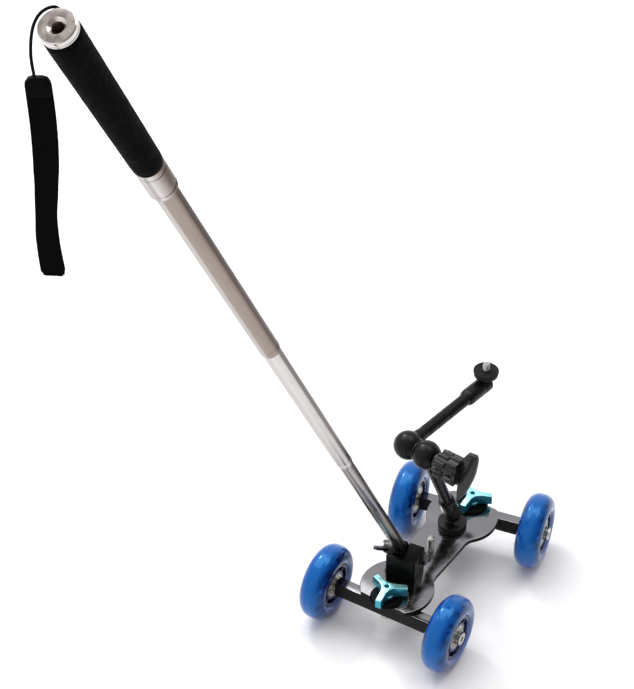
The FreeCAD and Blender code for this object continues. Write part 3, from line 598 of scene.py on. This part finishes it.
def sheet_mesh(rows):
    """Closed skin over rings of equal length."""
    count, last = len(rows[0]), len(rows) - 1
    faces = grid_faces(last, count)
    faces.append(tuple(range(count)))
    faces.append(tuple(range(last * count, (last + 1) * count)))
    return mesh_of([v for row in rows for v in row], faces)


def thread_mesh(low, high, place, tip=0.5):
    """Quarter-inch thread: a grid whose radius follows a helix, run out at its tip and closed."""
    around, per_turn, depth = 40, 8, 0.42
    rows = int((high - low) / PITCH * per_turn)
    verts = []
    for row in range(rows + 1):
        height = low + (high - low) * row / rows
        for step in range(around):
            phase = (height / PITCH - step / around) % 1.0
            cut = depth * abs(2 * phase - 1) ** 0.8
            taper = max(0.0, height - (high - tip))
            r = THREAD_R - cut * (1 if height > low + PITCH else 0.6) - taper * 0.8
            angle = 2 * pi * step / around
            verts.append(place @ (Vector((r * cos(angle), r * sin(angle), height)) * MM))
    faces = grid_faces(rows, around)
    for row, height in ((0, low), (rows, high)):
        centre = len(verts)
        verts.append(place @ (Vector((0, 0, height)) * MM))
        for step in range(around):
            faces.append((row * around + step, row * around + (step + 1) % around, centre))
    return mesh_of(verts, faces)


def socket_head_meshes(radius, low, high, key, deep, place):
    """Cap head with a hexagon socket of radius key, deep millimetres deep."""
    crown = slab(circle(radius, 64), high - deep, high, place, [circle(key, 6)], 0.35)
    bed = spun(rectangle(0, radius, low, high - deep + 0.1), place, ease=0.15)
    return [crown, bed]


def shank_mesh(low, high, place):
    """Plain M6 shank."""
    return spun(rectangle(0, BOLT_R, low, high), place)


# -------- deck


def deck_outline():
    """Dog-bone: two round lobes cut flat at the ends, joined by a waist with hollow fillets."""
    lobe_y, lobe_r, flat_y, waist, hollow = 55.0, 33.0, 79.0, 22.0, 15.0
    hollow_x = waist + hollow
    drop = sqrt((lobe_r + hollow) ** 2 - hollow_x ** 2)
    hollow_y = lobe_y - drop
    end = degrees(asin((flat_y - lobe_y) / lobe_r))
    join = -degrees(atan2(drop, hollow_x))
    lobe = arc((0, lobe_y), lobe_r, join, end, 26)
    bay = arc((hollow_x, hollow_y), hollow, 180, 180 + join, 10)
    quarter = bay + lobe[1:]
    right = [(x, -y) for x, y in reversed(quarter)] + quarter
    left = [(-x, y) for x, y in reversed(right)]
    return right + left


def build_deck():
    body = slab(deck_outline(), (DECK_LOW - DECK_TOP) / MM, 0, DECK, bevel=0.6)
    plate = finished("deck_plate", [body], "deck", "deck", "base_plate")
    # the deck's side and bottom faces take the black beam finish, a painted shade on its edges
    refaced(plate, "beam", lambda normal, centre: normal.z < 0.5)
    screw = thread_mesh(0.4, 15, DECK)
    flange = spun([(0, -6.5), (6, -6.5), (6, -4.5), (3, -4.5), (3, 0.5), (0, 0.5)], DECK)
    finished("centre_screw", [screw, flange], "steel", "deck", "centre_stud")
    for end in ("front", "rear"):
        lathe(end + "_skirt", [(3.3, 0), (14.8, 0), (14.8, 1.4), (13.3, 3), (3.3, 3)],
              on_deck(spot(end + "_steer")), "alloy", "deck", end + "_washer", slot="black_plastic",
              closed=True, ease=0.5)
    build_scale()


def build_scale():
    """Ring of printed dots round each pivot, every fifth one longer; none beyond the deck's flat ends."""
    marks = []
    radius, flat = 18.8, 78.6
    short, long, half, rise = 0.5, 1.4, 0.25, 0.06
    for end in ("front", "rear"):
        pivot = spot(end + "_steer")
        for side in (0, 180):
            for step in range(-15, 16):
                angle = side + step * 5
                outer = radius + (long if step % 5 == 0 else short)
                if abs(pivot.y / MM + outer * sin(radians(angle))) > flat:
                    continue
                mark = rectangle(radius, outer, -half, half)
                marks.append(slab(mark, 0.0, rise, turned(on_deck(pivot), "Z", angle)))
    finished("deck_scale", marks, "print", "deck")


# -------- axles and knobs

BEAM_HALF, BEAM_LOW, BEAM_HIGH = 50.0, -7.5, 7.44  # the top stops just short of the deck's underside


def build_axle(end):
    pivot = spot(end + "_steer")
    body = end + "_axle"
    place = place_at(pivot, UP, axis(end + "_right_spin"))
    outline = rectangle(-BEAM_HALF, BEAM_HALF, -5, 5)
    beam = slab(outline, BEAM_LOW, BEAM_HIGH, place, bevel=0.7)
    bar = finished(end + "_beam", [beam], "beam", body, end + "_axle_beam")
    # the beam's top faces take the deck's bright finish, a painted highlight
    refaced(bar, "deck", lambda normal, centre: normal.z > 0.8)
    head = socket_head_meshes(5, 7.4, 10.5, 2.2, 1.6, turned(place, "X", 180))
    finished(end + "_pivot_screw", [shank_mesh(BEAM_LOW, 23.6, place), *head], "steel", body,
             end + "_pivot_bolt")
    build_knob(end, pivot)


def knob_outline():
    """Three slim square-ended arms with hollow flanks."""
    reach, half, shoulder, waist = 18.0, 2.7, 10.5, 5.2
    points = []
    for arm in range(3):
        turn = Matrix.Rotation(radians(120 * arm), 2)
        after = Matrix.Rotation(radians(120 * (arm + 1)), 2)
        tip = [(shoulder, -half), (reach, -half), (reach, half), (shoulder, half)]
        points += [tuple(turn @ Vector(p)) for p in tip]
        start, end = turn @ Vector((shoulder, half)), after @ Vector((shoulder, -half))
        middle = turn @ Vector((waist * cos(pi / 3), waist * sin(pi / 3)))
        control = middle * 2 - (start + end) / 2
        points += [bent(start, control, end, step / 10) for step in range(1, 10)]
    return points


KNOB_YAW = {"front": 37.5, "rear": 31.0}


def build_knob(end, pivot):
    """Three-armed knob whose top is crowned, so that the arms' ends lie lower than the middle."""
    place = turned(on_deck(pivot), "Z", KNOB_YAW[end])
    crown, foot, dome = 14.6, 3.4, 81.0
    star = slab(knob_outline(), foot, crown, Matrix.Identity(4), [circle(2.3, 6)], 0.55)
    for vertex in star.vertices:
        reach = hypot(vertex.co.x, vertex.co.y) / MM
        share = (vertex.co.z / MM - foot) / (crown - foot)
        vertex.co.z -= share * (dome - sqrt(dome ** 2 - reach ** 2)) * MM
    star.transform(place)
    hub = spun(rectangle(3.1, 6.4, 3.2, 6), place, closed=True)
    knob = finished(end + "_star_knob", [star, hub], "teal", end + "_knob", end + "_lock_knob")
    # the top faces take the paler teal, a painted highlight; the sides keep the darker teal
    refaced(knob, "teal_painted_highlight", lambda normal, centre: normal.z > 0.5)


# -------- wheels

CORE_R, TYRE_R, TYRE_HALF = 20.75, 35.0, 12.0
TYRE_STEPS = 128


def tyre_profile():
    """Bullet-shaped tread, flat side walls and a small step at the core."""
    shoulder = 10.5
    side = [(CORE_R, 10.0), (CORE_R + 1.2, 11.2), (CORE_R + 3.2, TYRE_HALF)]
    upper = side + arc((TYRE_R - shoulder, TYRE_HALF - shoulder), shoulder, 90, 0, 16)
    return upper + [(r, -z) for r, z in reversed(upper)]


def tyre_side_values(profile):
    """How far each profile point lies from the tread's middle towards the core, 0 to 1."""
    values = []
    bend_r, wall_r, wall_depth = 22.0, 27.0, 6.3
    for radius, across in profile:
        bend = degrees(atan2(abs(across), max(radius - bend_r, 0.01)))
        values.append(min(1.0, bend / 90.0 * 0.72 + max(0.0, wall_r - radius) / wall_depth * 0.3))
    return values


def build_tyre(name, place, body):
    profile = tyre_profile()
    mesh = spun(profile, place, steps=TYRE_STEPS, ease=0, closed=True)
    levels = tyre_side_values(profile)
    side = mesh.attributes.new("side", "FLOAT", "POINT")
    for i, value in enumerate(side.data):
        value.value = levels[i // TYRE_STEPS]
    finished(name + "_urethane", [mesh], "urethane", body, name + "_tyre", smooth=50)


def build_core(name, place, body):
    rim = spun(rectangle(17.6, CORE_R, -10, 10), place, closed=True, ease=0.7)
    hub = spun(rectangle(11, 13.6, -9, 9), place, closed=True, ease=0.5)
    windows = [arc((0, 0), 16.9, start, start + 42, 8) + arc((0, 0), 14.4, start + 42, start, 6)
               for start in range(9, 360, 60)]
    web = slab(circle(17.9, 72), -3, 3, place, [circle(10.9), *windows], 0.35)
    ribs = []
    for i in range(6):
        spoke = turned(place, "Z", 60 * i)
        for low, high in ((2.6, 8.6), (-8.6, -2.6)):
            ribs.append(slab(rectangle(13.2, 18.0, -1.1, 1.1), low, high, spoke, bevel=0.3))
    finished(name + "_hub", [rim, hub, web, *ribs], "core", body, name + "_core")


def build_bearing(name, place, body, side):
    """608 bearing, 22 by 8 by 7: two races and a shield."""
    from_middle, half = 5.5, 3.5
    seat = moved(place, z=from_middle * side)
    outer = spun(rectangle(9.3, 11, -half, half), seat, closed=True, ease=0.35)
    inner = spun(rectangle(4, 5.8, -half, half), seat, closed=True)
    which = "outer" if side > 0 else "inner"
    finished("%s_race_%s" % (name, which), [outer, inner], "steel", body,
             "%s_bearing_%s" % (name, which))
    shield = [(5.7, -3), (7.4, -3.15), (9.4, -3), (9.4, 3), (7.4, 3.15), (5.7, 3)]
    lathe("%s_shield_%s" % (name, which), shield, seat, "shield", body, closed=True, ease=0.2)


def build_wheel(name, axle):
    """Everything on one axle end; local Z points outwards."""
    place = place_at(spot(name + "_spin"), axis(name + "_spin"), UP)
    body = name + "_wheel"
    build_tyre(name, place, body)
    build_core(name, place, body)
    for side in (1, -1):
        build_bearing(name, place, body, side)
    neck, seat_r = -11.25, 3.95
    profile = [(0, -24), (BOLT_R, -24), (BOLT_R, neck), (seat_r, neck), (seat_r, 9.3), (0, 9.3)]
    shank = spun(profile, place)
    head = socket_head_meshes(6.0, 9.15, 13.65, 2.9, 2.5, place)
    finished(name + "_axle_screw", [shank, *head], "steel", axle, name + "_axle_bolt")
    sleeve = rectangle(seat_r, 6, neck, -9.15)
    lathe(name + "_sleeve", sleeve, place, "steel", axle, name + "_spacer", closed=True)


# -------- bracket and pole

HINGE_X = -5.4  # the hinge slot's middle, across the bracket
BLOCK = (-14.5, 13.0, -12.0, 12.0)  # the bracket's four sides
BLOCK_TOP = 32.0


def build_bracket():
    _, x1, y0, y1 = BLOCK
    slot_left, slot_right, wall = HINGE_X - 4.2, HINGE_X + 4.2, y0 + 3.5
    floor = 14.5
    base = slab(chamfered(*BLOCK, 1.0), 0, floor + 0.05, BRACKET, bevel=0.25)
    notch = [(slot_right, y1), (slot_right, wall), (slot_left, wall), (slot_left, y1)]
    yoke = slab(chamfered(*BLOCK, 1.0, notch), floor - 0.05, BLOCK_TOP, BRACKET, bevel=0.35)
    finished("bracket_yoke", [base, yoke], "alloy", "bracket", "bracket_block")
    head = socket_head_meshes(5.5, 4.4, 7.0, 2.4, 1.6, turned(BRACKET, "X", 180))
    finished("bracket_fixing", [shank_mesh(-4.6, 9.5, BRACKET), *head], "steel", "bracket", "bracket_screw")
    right = x1 - HINGE_X
    head = slab(circle(5.8, 6), right, right + 4, HINGE, bevel=0.35)
    washer = spun(rectangle(BOLT_R, 6.4, right, right + 0.7), HINGE, closed=True)
    finished("hinge_screw", [shank_mesh(-19, right + 0.2, HINGE), head, washer], "dark", "bracket",
             "hinge_bolt")
    build_wing_nut()


def build_wing_nut():
    """Round tapered nut with two flat ears that spread outwards and away from the cheek."""
    left = BLOCK[0] - HINGE_X - 0.2
    place = turned(turned(moved(HINGE, z=left), "X", 180), "Z", -60)
    profile = [(3.05, 0), (6.7, 0), (6.3, 3.5), (5.5, 8.5), (3.05, 8.5)]
    hub = spun(profile, place, closed=True, ease=0.5)
    ear = [(3.6, 1.0), (7, 1.5), (11.5, 6), (15.4, 10.2), (15.9, 12.6), (14.8, 14.6), (12.2, 14.9),
           (8.5, 12), (5.2, 8.3), (3.6, 8.0)]
    ears = [slab(ear, -1.4, 1.4, turned(turned(place, "Z", side), "X", 90), bevel=0.6)
            for side in (0, 180)]
    finished("thumb_nut", [hub, *ears], "dark", "wing", "wing_nut")


WALL = 0.65
GRIP_START, GRIP_END, POLE_END = 759.0, 893.5, 899.0
FERRULE_START = 730.0
TUBE_START = 17.5
GRIP_BORE = 7.85
# the tubes' finishes carry a painted reflection and painted shade, set by how far round the pole a point
# lies
TUBES = (
    # piece, CAD node, body, finish, radius, start, end, in millimetres along the pole
    ("pole_section_1", "pole_tube_1", "pole_low", "streaked_painted_reflection", 5.6, TUBE_START, 285.0),
    ("pole_section_2", "pole_tube_2", "pole_2", "silver_painted_reflection", 6.35, 255.0, 521.5),
    ("pole_section_3", "pole_tube_3", "pole_3", "warm_painted_reflection", 7.1, 491.5, 758.0),
    ("pole_section_4", "pole_tube_4", "grip", "warm_painted_reflection", GRIP_BORE, FERRULE_START, GRIP_END),
)
FLANK_YAW = 21.7  # degrees round the pole to its right-hand flank, where the tubes' painted shade is darkest


def build_pole():
    barrel = slab(circle(6.5), -4, 4, HINGE, bevel=0.5)
    tongue = slab(rectangle(-4, 4, -6.5, 6.5), 0, TUBE_START, POLE, bevel=0.5)
    plug = spun(rectangle(0, 4.9, 16, 44), POLE, ease=0.4)
    finished("pole_shoe", [barrel, tongue, plug], "alloy", "pole_low", "pole_socket")
    for piece, node, body, finish, radius, start, end in TUBES:
        bore = radius - WALL
        profile = [(bore, start), (radius - 0.25, start), (radius, start + 0.8)]
        if body != "pole_low":
            profile = [(bore, start), (radius - 0.35, start), (radius, start + 1.2), (radius, start + 6),
                       (radius - 0.22, start + 6.8), (radius - 0.22, start + 7.8), (radius, start + 8.6)]
        profile += [(radius, end - 0.5), (bore, end)]
        mark_flank(lathe(piece, profile, POLE, finish, body, node, closed=True, steps=64))
    outer = 8.7
    profile = [(GRIP_BORE, FERRULE_START), (outer - 0.6, FERRULE_START), (outer, FERRULE_START + 0.9)]
    for groove in (4.0, 23.5):
        low = FERRULE_START + groove
        profile += [(outer, low), (outer - 0.35, low + 0.35), (outer - 0.35, low + 1.0), (outer, low + 1.35)]
    profile += [(outer, GRIP_START), (GRIP_BORE, GRIP_START)]
    # the ferrule's finish carries a painted reflection and painted shade round it
    mark_flank(lathe("ferrule", profile, POLE, "collar_painted_reflection", "grip", "grip_ferrule", closed=True, ease=0.2))
    build_grip()
    build_cap()


def mark_flank(piece):
    """Store how far each vertex lies round to the pole's right-hand flank, 0 to 1; the tubes' painted
    reflection and painted shade follow it.
    """
    around = piece.data.attributes.new("around", "FLOAT", "POINT")
    inward = POLE.inverted()
    for vertex, value in zip(piece.data.vertices, around.data):
        local = inward @ vertex.co
        value.value = 0.5 + 0.5 * cos(atan2(local.y, local.x) - radians(FLANK_YAW))


def build_grip():
    """Foam sleeve that swells towards its top, pinched a little at both ends."""
    low_r, top_r = 8.95, 10.1
    length = GRIP_END - GRIP_START
    rows = 60
    profile = [(GRIP_BORE, GRIP_START + 0.3)]
    for row in range(rows + 1):
        t = row / rows
        swell = low_r + (top_r - low_r) * t ** 0.9
        pinch = 0.6 * exp(-t * length) + 0.6 * exp(-(1 - t) * length)
        profile.append((swell - pinch, GRIP_START + length * t))
    profile.append((GRIP_BORE, GRIP_END - 0.3))

    def lumps(angle, height, radius):
        if radius < 8.0:
            return 0
        return 0.05 * sin(height * 0.31 + 2 * angle) * sin(height * 0.13 - angle)

    lathe("foam_sleeve", profile, POLE, "foam", "grip", "foam_grip", closed=True, ease=0, wobble=lumps)


def build_cap():
    """Chrome plug with a ring groove, a countersink and an internal quarter-inch thread."""
    rim, plug_r, root, crest = 9.8, 7.2, 3.2, 2.75
    plug = [(0, -14), (plug_r, -14), (plug_r, 0), (rim - 0.4, 0), (rim, 0.8), (rim, 1.6), (rim - 0.25, 1.9),
            (rim - 0.25, 2.3), (rim, 2.6)]
    plug = [(r, GRIP_END + z) for r, z in plug]
    plug += [(rim, POLE_END - 0.6), (rim - 0.6, POLE_END), (4.8, POLE_END), (root, POLE_END - 1.6)]
    height = POLE_END - 1.6
    while height > POLE_END - 11.4:
        plug += [(crest, height - PITCH / 2), (root, height - PITCH)]
        height -= PITCH
    plug += [(3.1, POLE_END - 12), (0, POLE_END - 12)]
    cap = lathe("grip_end", plug, POLE, "chrome", "grip", "end_cap", ease=0.12, steps=96)
    inward = POLE.inverted()

    def in_bore(centre):
        local = inward @ centre
        return hypot(local.x, local.y) / MM < 3.15

    refaced(cap, "nickel", lambda normal, centre: normal.dot(axis("pole_slide_1")) > 0.95)
    refaced(cap, "bore", lambda normal, centre: in_bore(centre))


# -------- wrist strap

CORD_ROUTE = [
    (0.0686, -0.4856, 0.7933), (0.0659, -0.4852, 0.7944), (0.0629, -0.4883, 0.7940),
    (0.0610, -0.4922, 0.7921), (0.0607, -0.4960, 0.7888), (0.0617, -0.4992, 0.7856),
    (0.0637, -0.5029, 0.7809), (0.0665, -0.5065, 0.7750), (0.0702, -0.5090, 0.7689),
]
CORD_DIAMETER = 0.0016
STRAP_FACING = 34.86  # degrees that the band's flat face is turned about the vertical
BAND_DROP = 115.0
# centre line of the doubled band from the cord down, in millimetres across and along its hang
BAND_ROUTE = [(1.0, 0.4), (1.6, -12), (1.9, -28), (1.3, -46), (-0.2, -64), (-2.0, -82), (-2.2, -98),
              (-0.9, -114)]
BAND_HALF_WIDTHS = (6.3, 6.4, 6.35, 6.2, 5.7, 5.3, 5.7, 6.1)


def nurbs(name, points):
    """Open curve of order 3 that the points pull and that starts and ends on the outer two."""
    curve = bpy.data.curves.new(name, "CURVE")
    curve.dimensions = "3D"
    spline = curve.splines.new("NURBS")
    spline.points.add(len(points) - 1)
    for control, place in zip(spline.points, points):
        control.co = (*place, 1)
    spline.order_u = 3
    spline.use_endpoint_u = True
    return curve


def build_cord():
    curve = nurbs("wrist_cord", CORD_ROUTE)
    curve.bevel_depth = CORD_DIAMETER / 2
    curve.bevel_resolution = 5
    curve.resolution_u = 16
    curve.use_fill_caps = True
    cord = linked("wrist_cord", curve)
    cord.data.materials.append(MAT["braid"])
    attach(cord, "grip")
    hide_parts("strap_cord")
    return cord


def eased_value(values, t):
    """Value at t from 0 to 1 along an evenly spaced list, with smooth steps between them."""
    along = min(t, 0.9999) * (len(values) - 1)
    first = int(along)
    part = along - first
    part = part * part * (3 - 2 * part)
    return values[first] * (1 - part) + values[first + 1] * part


def band_row(place, line, i, face):
    """One woven row of the band: crowned, with thinner selvedges, on the near (+1) or far (-1) leg."""
    t = i / (len(line) - 1)
    drop = -line[i].z
    half = eased_value(BAND_HALF_WIDTHS, t)
    corner = 3.2
    for end in (drop, BAND_DROP - 0.6 - drop):
        if end < corner:
            half -= corner - sqrt(max(corner ** 2 - (corner - max(end, 0.0)) ** 2, 0.0))
    apart = 0.62 + 0.9 * sin(pi * t) ** 2 * t
    row = []
    steps = 10
    for layer in (-1, 1):
        for step in range(steps + 1)[::-layer]:
            u = 2 * step / steps - 1
            selvedge = 0.42 * (1 - 0.45 * abs(u) ** 6)
            roll = 0.35 * sin(5.2 * t + 0.7 * face) * u + 0.3 * u * u * sin(7 * t)
            twist = 1.3 * u * max(0.0, t - 0.62) * (1 if face > 0 else 0.3)
            depth = -(face * apart + roll + twist + layer * selvedge)
            row.append(place @ (Vector((line[i].x + u * half, depth, line[i].z)) * MM))
    return row


def fold_mesh(place, end):
    """Soft roll where the band turns back on itself at the bottom."""
    rows = []
    steps, around_steps = 8, 12
    for step in range(steps + 1):
        angle = pi * step / steps
        row = []
        for k in range(around_steps):
            around = 2 * pi * k / around_steps
            x = end.x + 5.4 * cos(around)
            y = 0.95 * cos(angle) + 0.35 * sin(around)
            z = end.z + 0.9 - 0.7 * sin(angle) - 0.25 * sin(around)
            row.append(place @ (Vector((x, y, z)) * MM))
        rows.append(row)
    return sheet_mesh(rows)


def tab_meshes(place):
    """Stitched tab where the cord enters the band."""
    upright = turned(place, "X", 90)
    outline = [(-5.9, -9.5), (5.9, -9.5), (5.9, -2.0), (4.6, 0.2), (2.4, 0.9), (-2.4, 0.9), (-4.6, 0.2),
               (-5.9, -2.0)]
    meshes = [slab(outline, -1.75, 1.75, upright, bevel=0.5)]
    for side in (-4.7, 4.7):
        for k in range(5):
            stitch = rectangle(side - 0.15, side + 0.15, -8.4 + 1.5 * k, -7.5 + 1.5 * k)
            meshes.append(slab(stitch, -1.92, 1.92, upright, bevel=0.1))
    return meshes


def build_band():
    """Doubled woven band: two legs folded at the bottom and sewn under a tab at the top."""
    place = turned(Matrix.Translation(CORD_ROUTE[-1]), "Z", STRAP_FACING)
    route = nurbs("route", [(x, 0, z) for x, z in BAND_ROUTE])
    route.resolution_u = 10
    line = [vertex.co.copy() for vertex in mesh_from(route).vertices]
    legs = [sheet_mesh([band_row(place, line, i, face) for i in range(len(line))])
            for face in (1, -1)]
    band = finished("wrist_band", [*legs, fold_mesh(place, line[-1])], "webbing", "grip", "strap_band")
    tab = finished("strap_tab", tab_meshes(moved(place, x=1.2)), "leather", "grip")
    return tab


def build_strap():
    cord = build_cord()
    tab = build_band()


# -------- camera arm

HUB_R = 13.0
CUP = [(4.6, 0.9), (5.6, 2.2), (7.2, 2.2), (7.8, 1.5), (7.8, -6.0), (7.35, -6.6), (7.35, -8.0), (7.8, -8.6),
       (7.8, -26.5), (7.0, -29.5)]  # radius and height of the ball cup, counted outwards from the ball


def build_lower_arm():
    """Lower link: collared ball cup, plain tube and a hub ball cut flat on both sides."""
    tube = [(0, 5.0), (3.4, 3.0), (4.5, 0.0)] + [(r, -z) for r, z in CUP]
    tube += [(5.3, 31.5), (5.2, 34), (5.6, REACH - 8), (0, REACH - 6)]
    cuts = (-9.25, 10.0)
    ball = ball_profile(HUB_R, 0, *(degrees(asin(cut / HUB_R)) for cut in cuts), 24)
    hub = spun([(0, cuts[0]), *ball, (0, cuts[1])], ELBOW, ease=0)
    body = spun(tube, LOWER, ease=0.5)
    finished("lower_link_body", [body, hub], "satin", "lower_link", "lower_arm")


def build_upper_arm():
    """Upper link: hub ball, rod with ring notches and a collared cup for the camera ball."""
    rod = [(0, 6.0), (6.5, 8.0), (6.5, 16.4), (5.8, 17.2)]
    for notch in (23.0, 36.5, 52.0):
        rod += [(5.8, notch), (5.4, notch + 0.4), (5.4, notch + 1.2), (5.8, notch + 1.6)]
    rod += [(5.8, REACH - 31.5)] + [(r, REACH + z) for r, z in reversed(CUP)]
    rod += [(4.5, REACH), (3.4, REACH - 3.0), (0, REACH - 4.5)]
    cut = 9.25
    ball = ball_profile(HUB_R, 0, -90, degrees(asin(cut / HUB_R)), 24)
    hub = spun([*ball, (0, cut)], place_at(spot("elbow"), ARM_SIDE, UP), ease=0)
    body = spun(rod, UPPER, ease=0.25)
    finished("upper_link_body", [body, hub], "satin", "upper_link", "upper_arm")


def fluted(inner, outer, count, phase, steps=10, width=0.62):
    """Outline with round ribs standing on a core circle."""
    points = []
    for rib in range(count):
        for step in range(steps):
            t = step / steps
            angle = 2 * pi * (rib + t) / count + phase
            swell = max(0.0, sin(pi * min(t / width, 1.0))) ** 0.45 if t < width else 0.0
            radius = inner + (outer - inner) * swell
            points.append((radius * cos(angle), radius * sin(angle)))
    return points


# D-shaped thumb wing: blunt upper corner, long curve down to a point
WING_CORNERS = [(-17, 26.5), (-24.3, 31), (-25.4, 39), (-22, 40.6), (-17, 41), (-7, 40.6), (0, 39.2),
                (8, 37), (14, 35), (19, 33), (26, 29), (26.5, 27), (19, 26), (11, 25.5), (8, 22), (-8, 22),
                (-11, 25)]


def build_clamp_knob():
    """Neck, two staggered rings of round ribs and a flat thumb wing."""
    start = HUB_SPACING / 2 + 0.3
    low = start + 4.0
    profile = [(0, start), (7.5, start), (7.5, low), (10.4, low), (11.3, low + 1.0), (11.3, low + 20.6),
               (9, low + 21.4), (0, low + 21.4)]
    core = spun(profile, ELBOW, ease=0.4)
    ribs = []
    for stage in (0, 1):
        rise = low + 0.4 + 10.4 * stage
        outline = fluted(11.0, 13.2, 10, radians(18 * stage))
        ribs.append(slab(outline, rise, rise + 10.2, ELBOW, bevel=0.5))
    wing = [(x, y + start) for x, y in WING_CORNERS]
    # the wing's plane holds the knob's axis; local X runs down the wing, local Y along the axis
    down = turned(ELBOW, "Z", 180 - 9)
    plane = down @ Matrix(((1, 0, 0, 0), (0, 0, -1, 0), (0, 1, 0, 0), (0, 0, 0, 1)))
    paddle = slab(wing, -2.5, 2.5, plane, bevel=1.4)
    finished("clamp_grip", [core, *ribs, paddle], "ribbed", "clamp_knob", "elbow_knob")


def thumb_disc(name, outer, bore, low, high, place, count, body, node):
    """Thumb disc with a scalloped rim."""
    points = []
    for i in range(count * 6):
        dip = 0.55 * max(0.0, cos(2 * pi * (i % 6) / 6)) ** 2
        angle = 2 * pi * i / (count * 6)
        points.append(((outer - dip) * cos(angle), (outer - dip) * sin(angle)))
    disc = slab(points, low, high, place, [circle(bore, 32)], 0.5)
    finished(name, [disc], "plastic", body, node)


def build_arm_ends():
    ball_r, neck_r = 4.4, 1.9
    foot_at = spot("arm_tilt")
    foot = on_deck(foot_at)
    centre = (foot_at.z - DECK_TOP) / MM
    screw = thread_mesh(0.0, 7.0, foot, tip=0.4)
    root = spun([(0, -4.5), (BOLT_R, -4.5), (BOLT_R, 0.1), (0.01, 0.2)], foot, ease=0.1)
    neck = [(0, 6.4), (3.1, 6.8), (neck_r, 8.2), (neck_r, centre - 4.2)]
    top = spun(neck + ball_profile(ball_r, centre, -64, 90, 16), foot, ease=0)
    finished("foot_screw", [screw, root, top], "dark", "arm_foot", "arm_foot_stud")
    thumb_disc("foot_thumb_disc", 13.2, 3.25, 0.2, 7.0, foot, 30, "foot_disc", "arm_foot_disc")
    stem = [(0, -ball_r)] + ball_profile(ball_r, 0, -80, 64, 14)
    stem += [(neck_r, 4.6), (neck_r, 8.2), (2.95, 9.4), (2.95, 16.4), (0, 16.6)]
    screw = [spun(stem, CAMERA_SEAT, ease=0), thread_mesh(16.2, 23.0, CAMERA_SEAT)]
    finished("camera_screw", screw, "steel", "camera_ball", "camera_stud")
    thumb_disc("camera_thumb_disc", 11.0, 3.0, 10.0, 14.0, CAMERA_SEAT, 26, "camera_seat", "camera_disc")
    pad = [(3.0, 14), (11.5, 14), (11.5, 15.4), (10.9, 16), (9.6, 16), (9.3, 15.6), (8.6, 15.6), (8.3, 16),
           (6.6, 16), (6.3, 15.6), (5.6, 15.6), (5.3, 16), (3.0, 16)]
    lathe("camera_rubber", pad, CAMERA_SEAT, "rubber", "camera_seat", "camera_pad", closed=True, ease=0.15)


def dress_inner_parts():
    """Materials for the CAD parts that stay as they are."""
    for node in ("lower_push_rod", "upper_push_rod", "elbow_bolt", "elbow_washer"):
        target = frame["nodes"][node]
        finish = MAT["plastic" if node == "elbow_washer" else "dark"]
        if not target.material_slots:
            target.data.materials.append(finish)
        for held in target.material_slots:
            held.material = finish


add_camera()
build_strap()
add_studio()
build_deck()
for end_name in ("front", "rear"):
    build_axle(end_name)
    for side_name in ("left", "right"):
        build_wheel(end_name + "_" + side_name, end_name + "_axle")
build_bracket()
build_pole()
build_lower_arm()
build_upper_arm()
build_clamp_knob()
build_arm_ends()
dress_inner_parts()
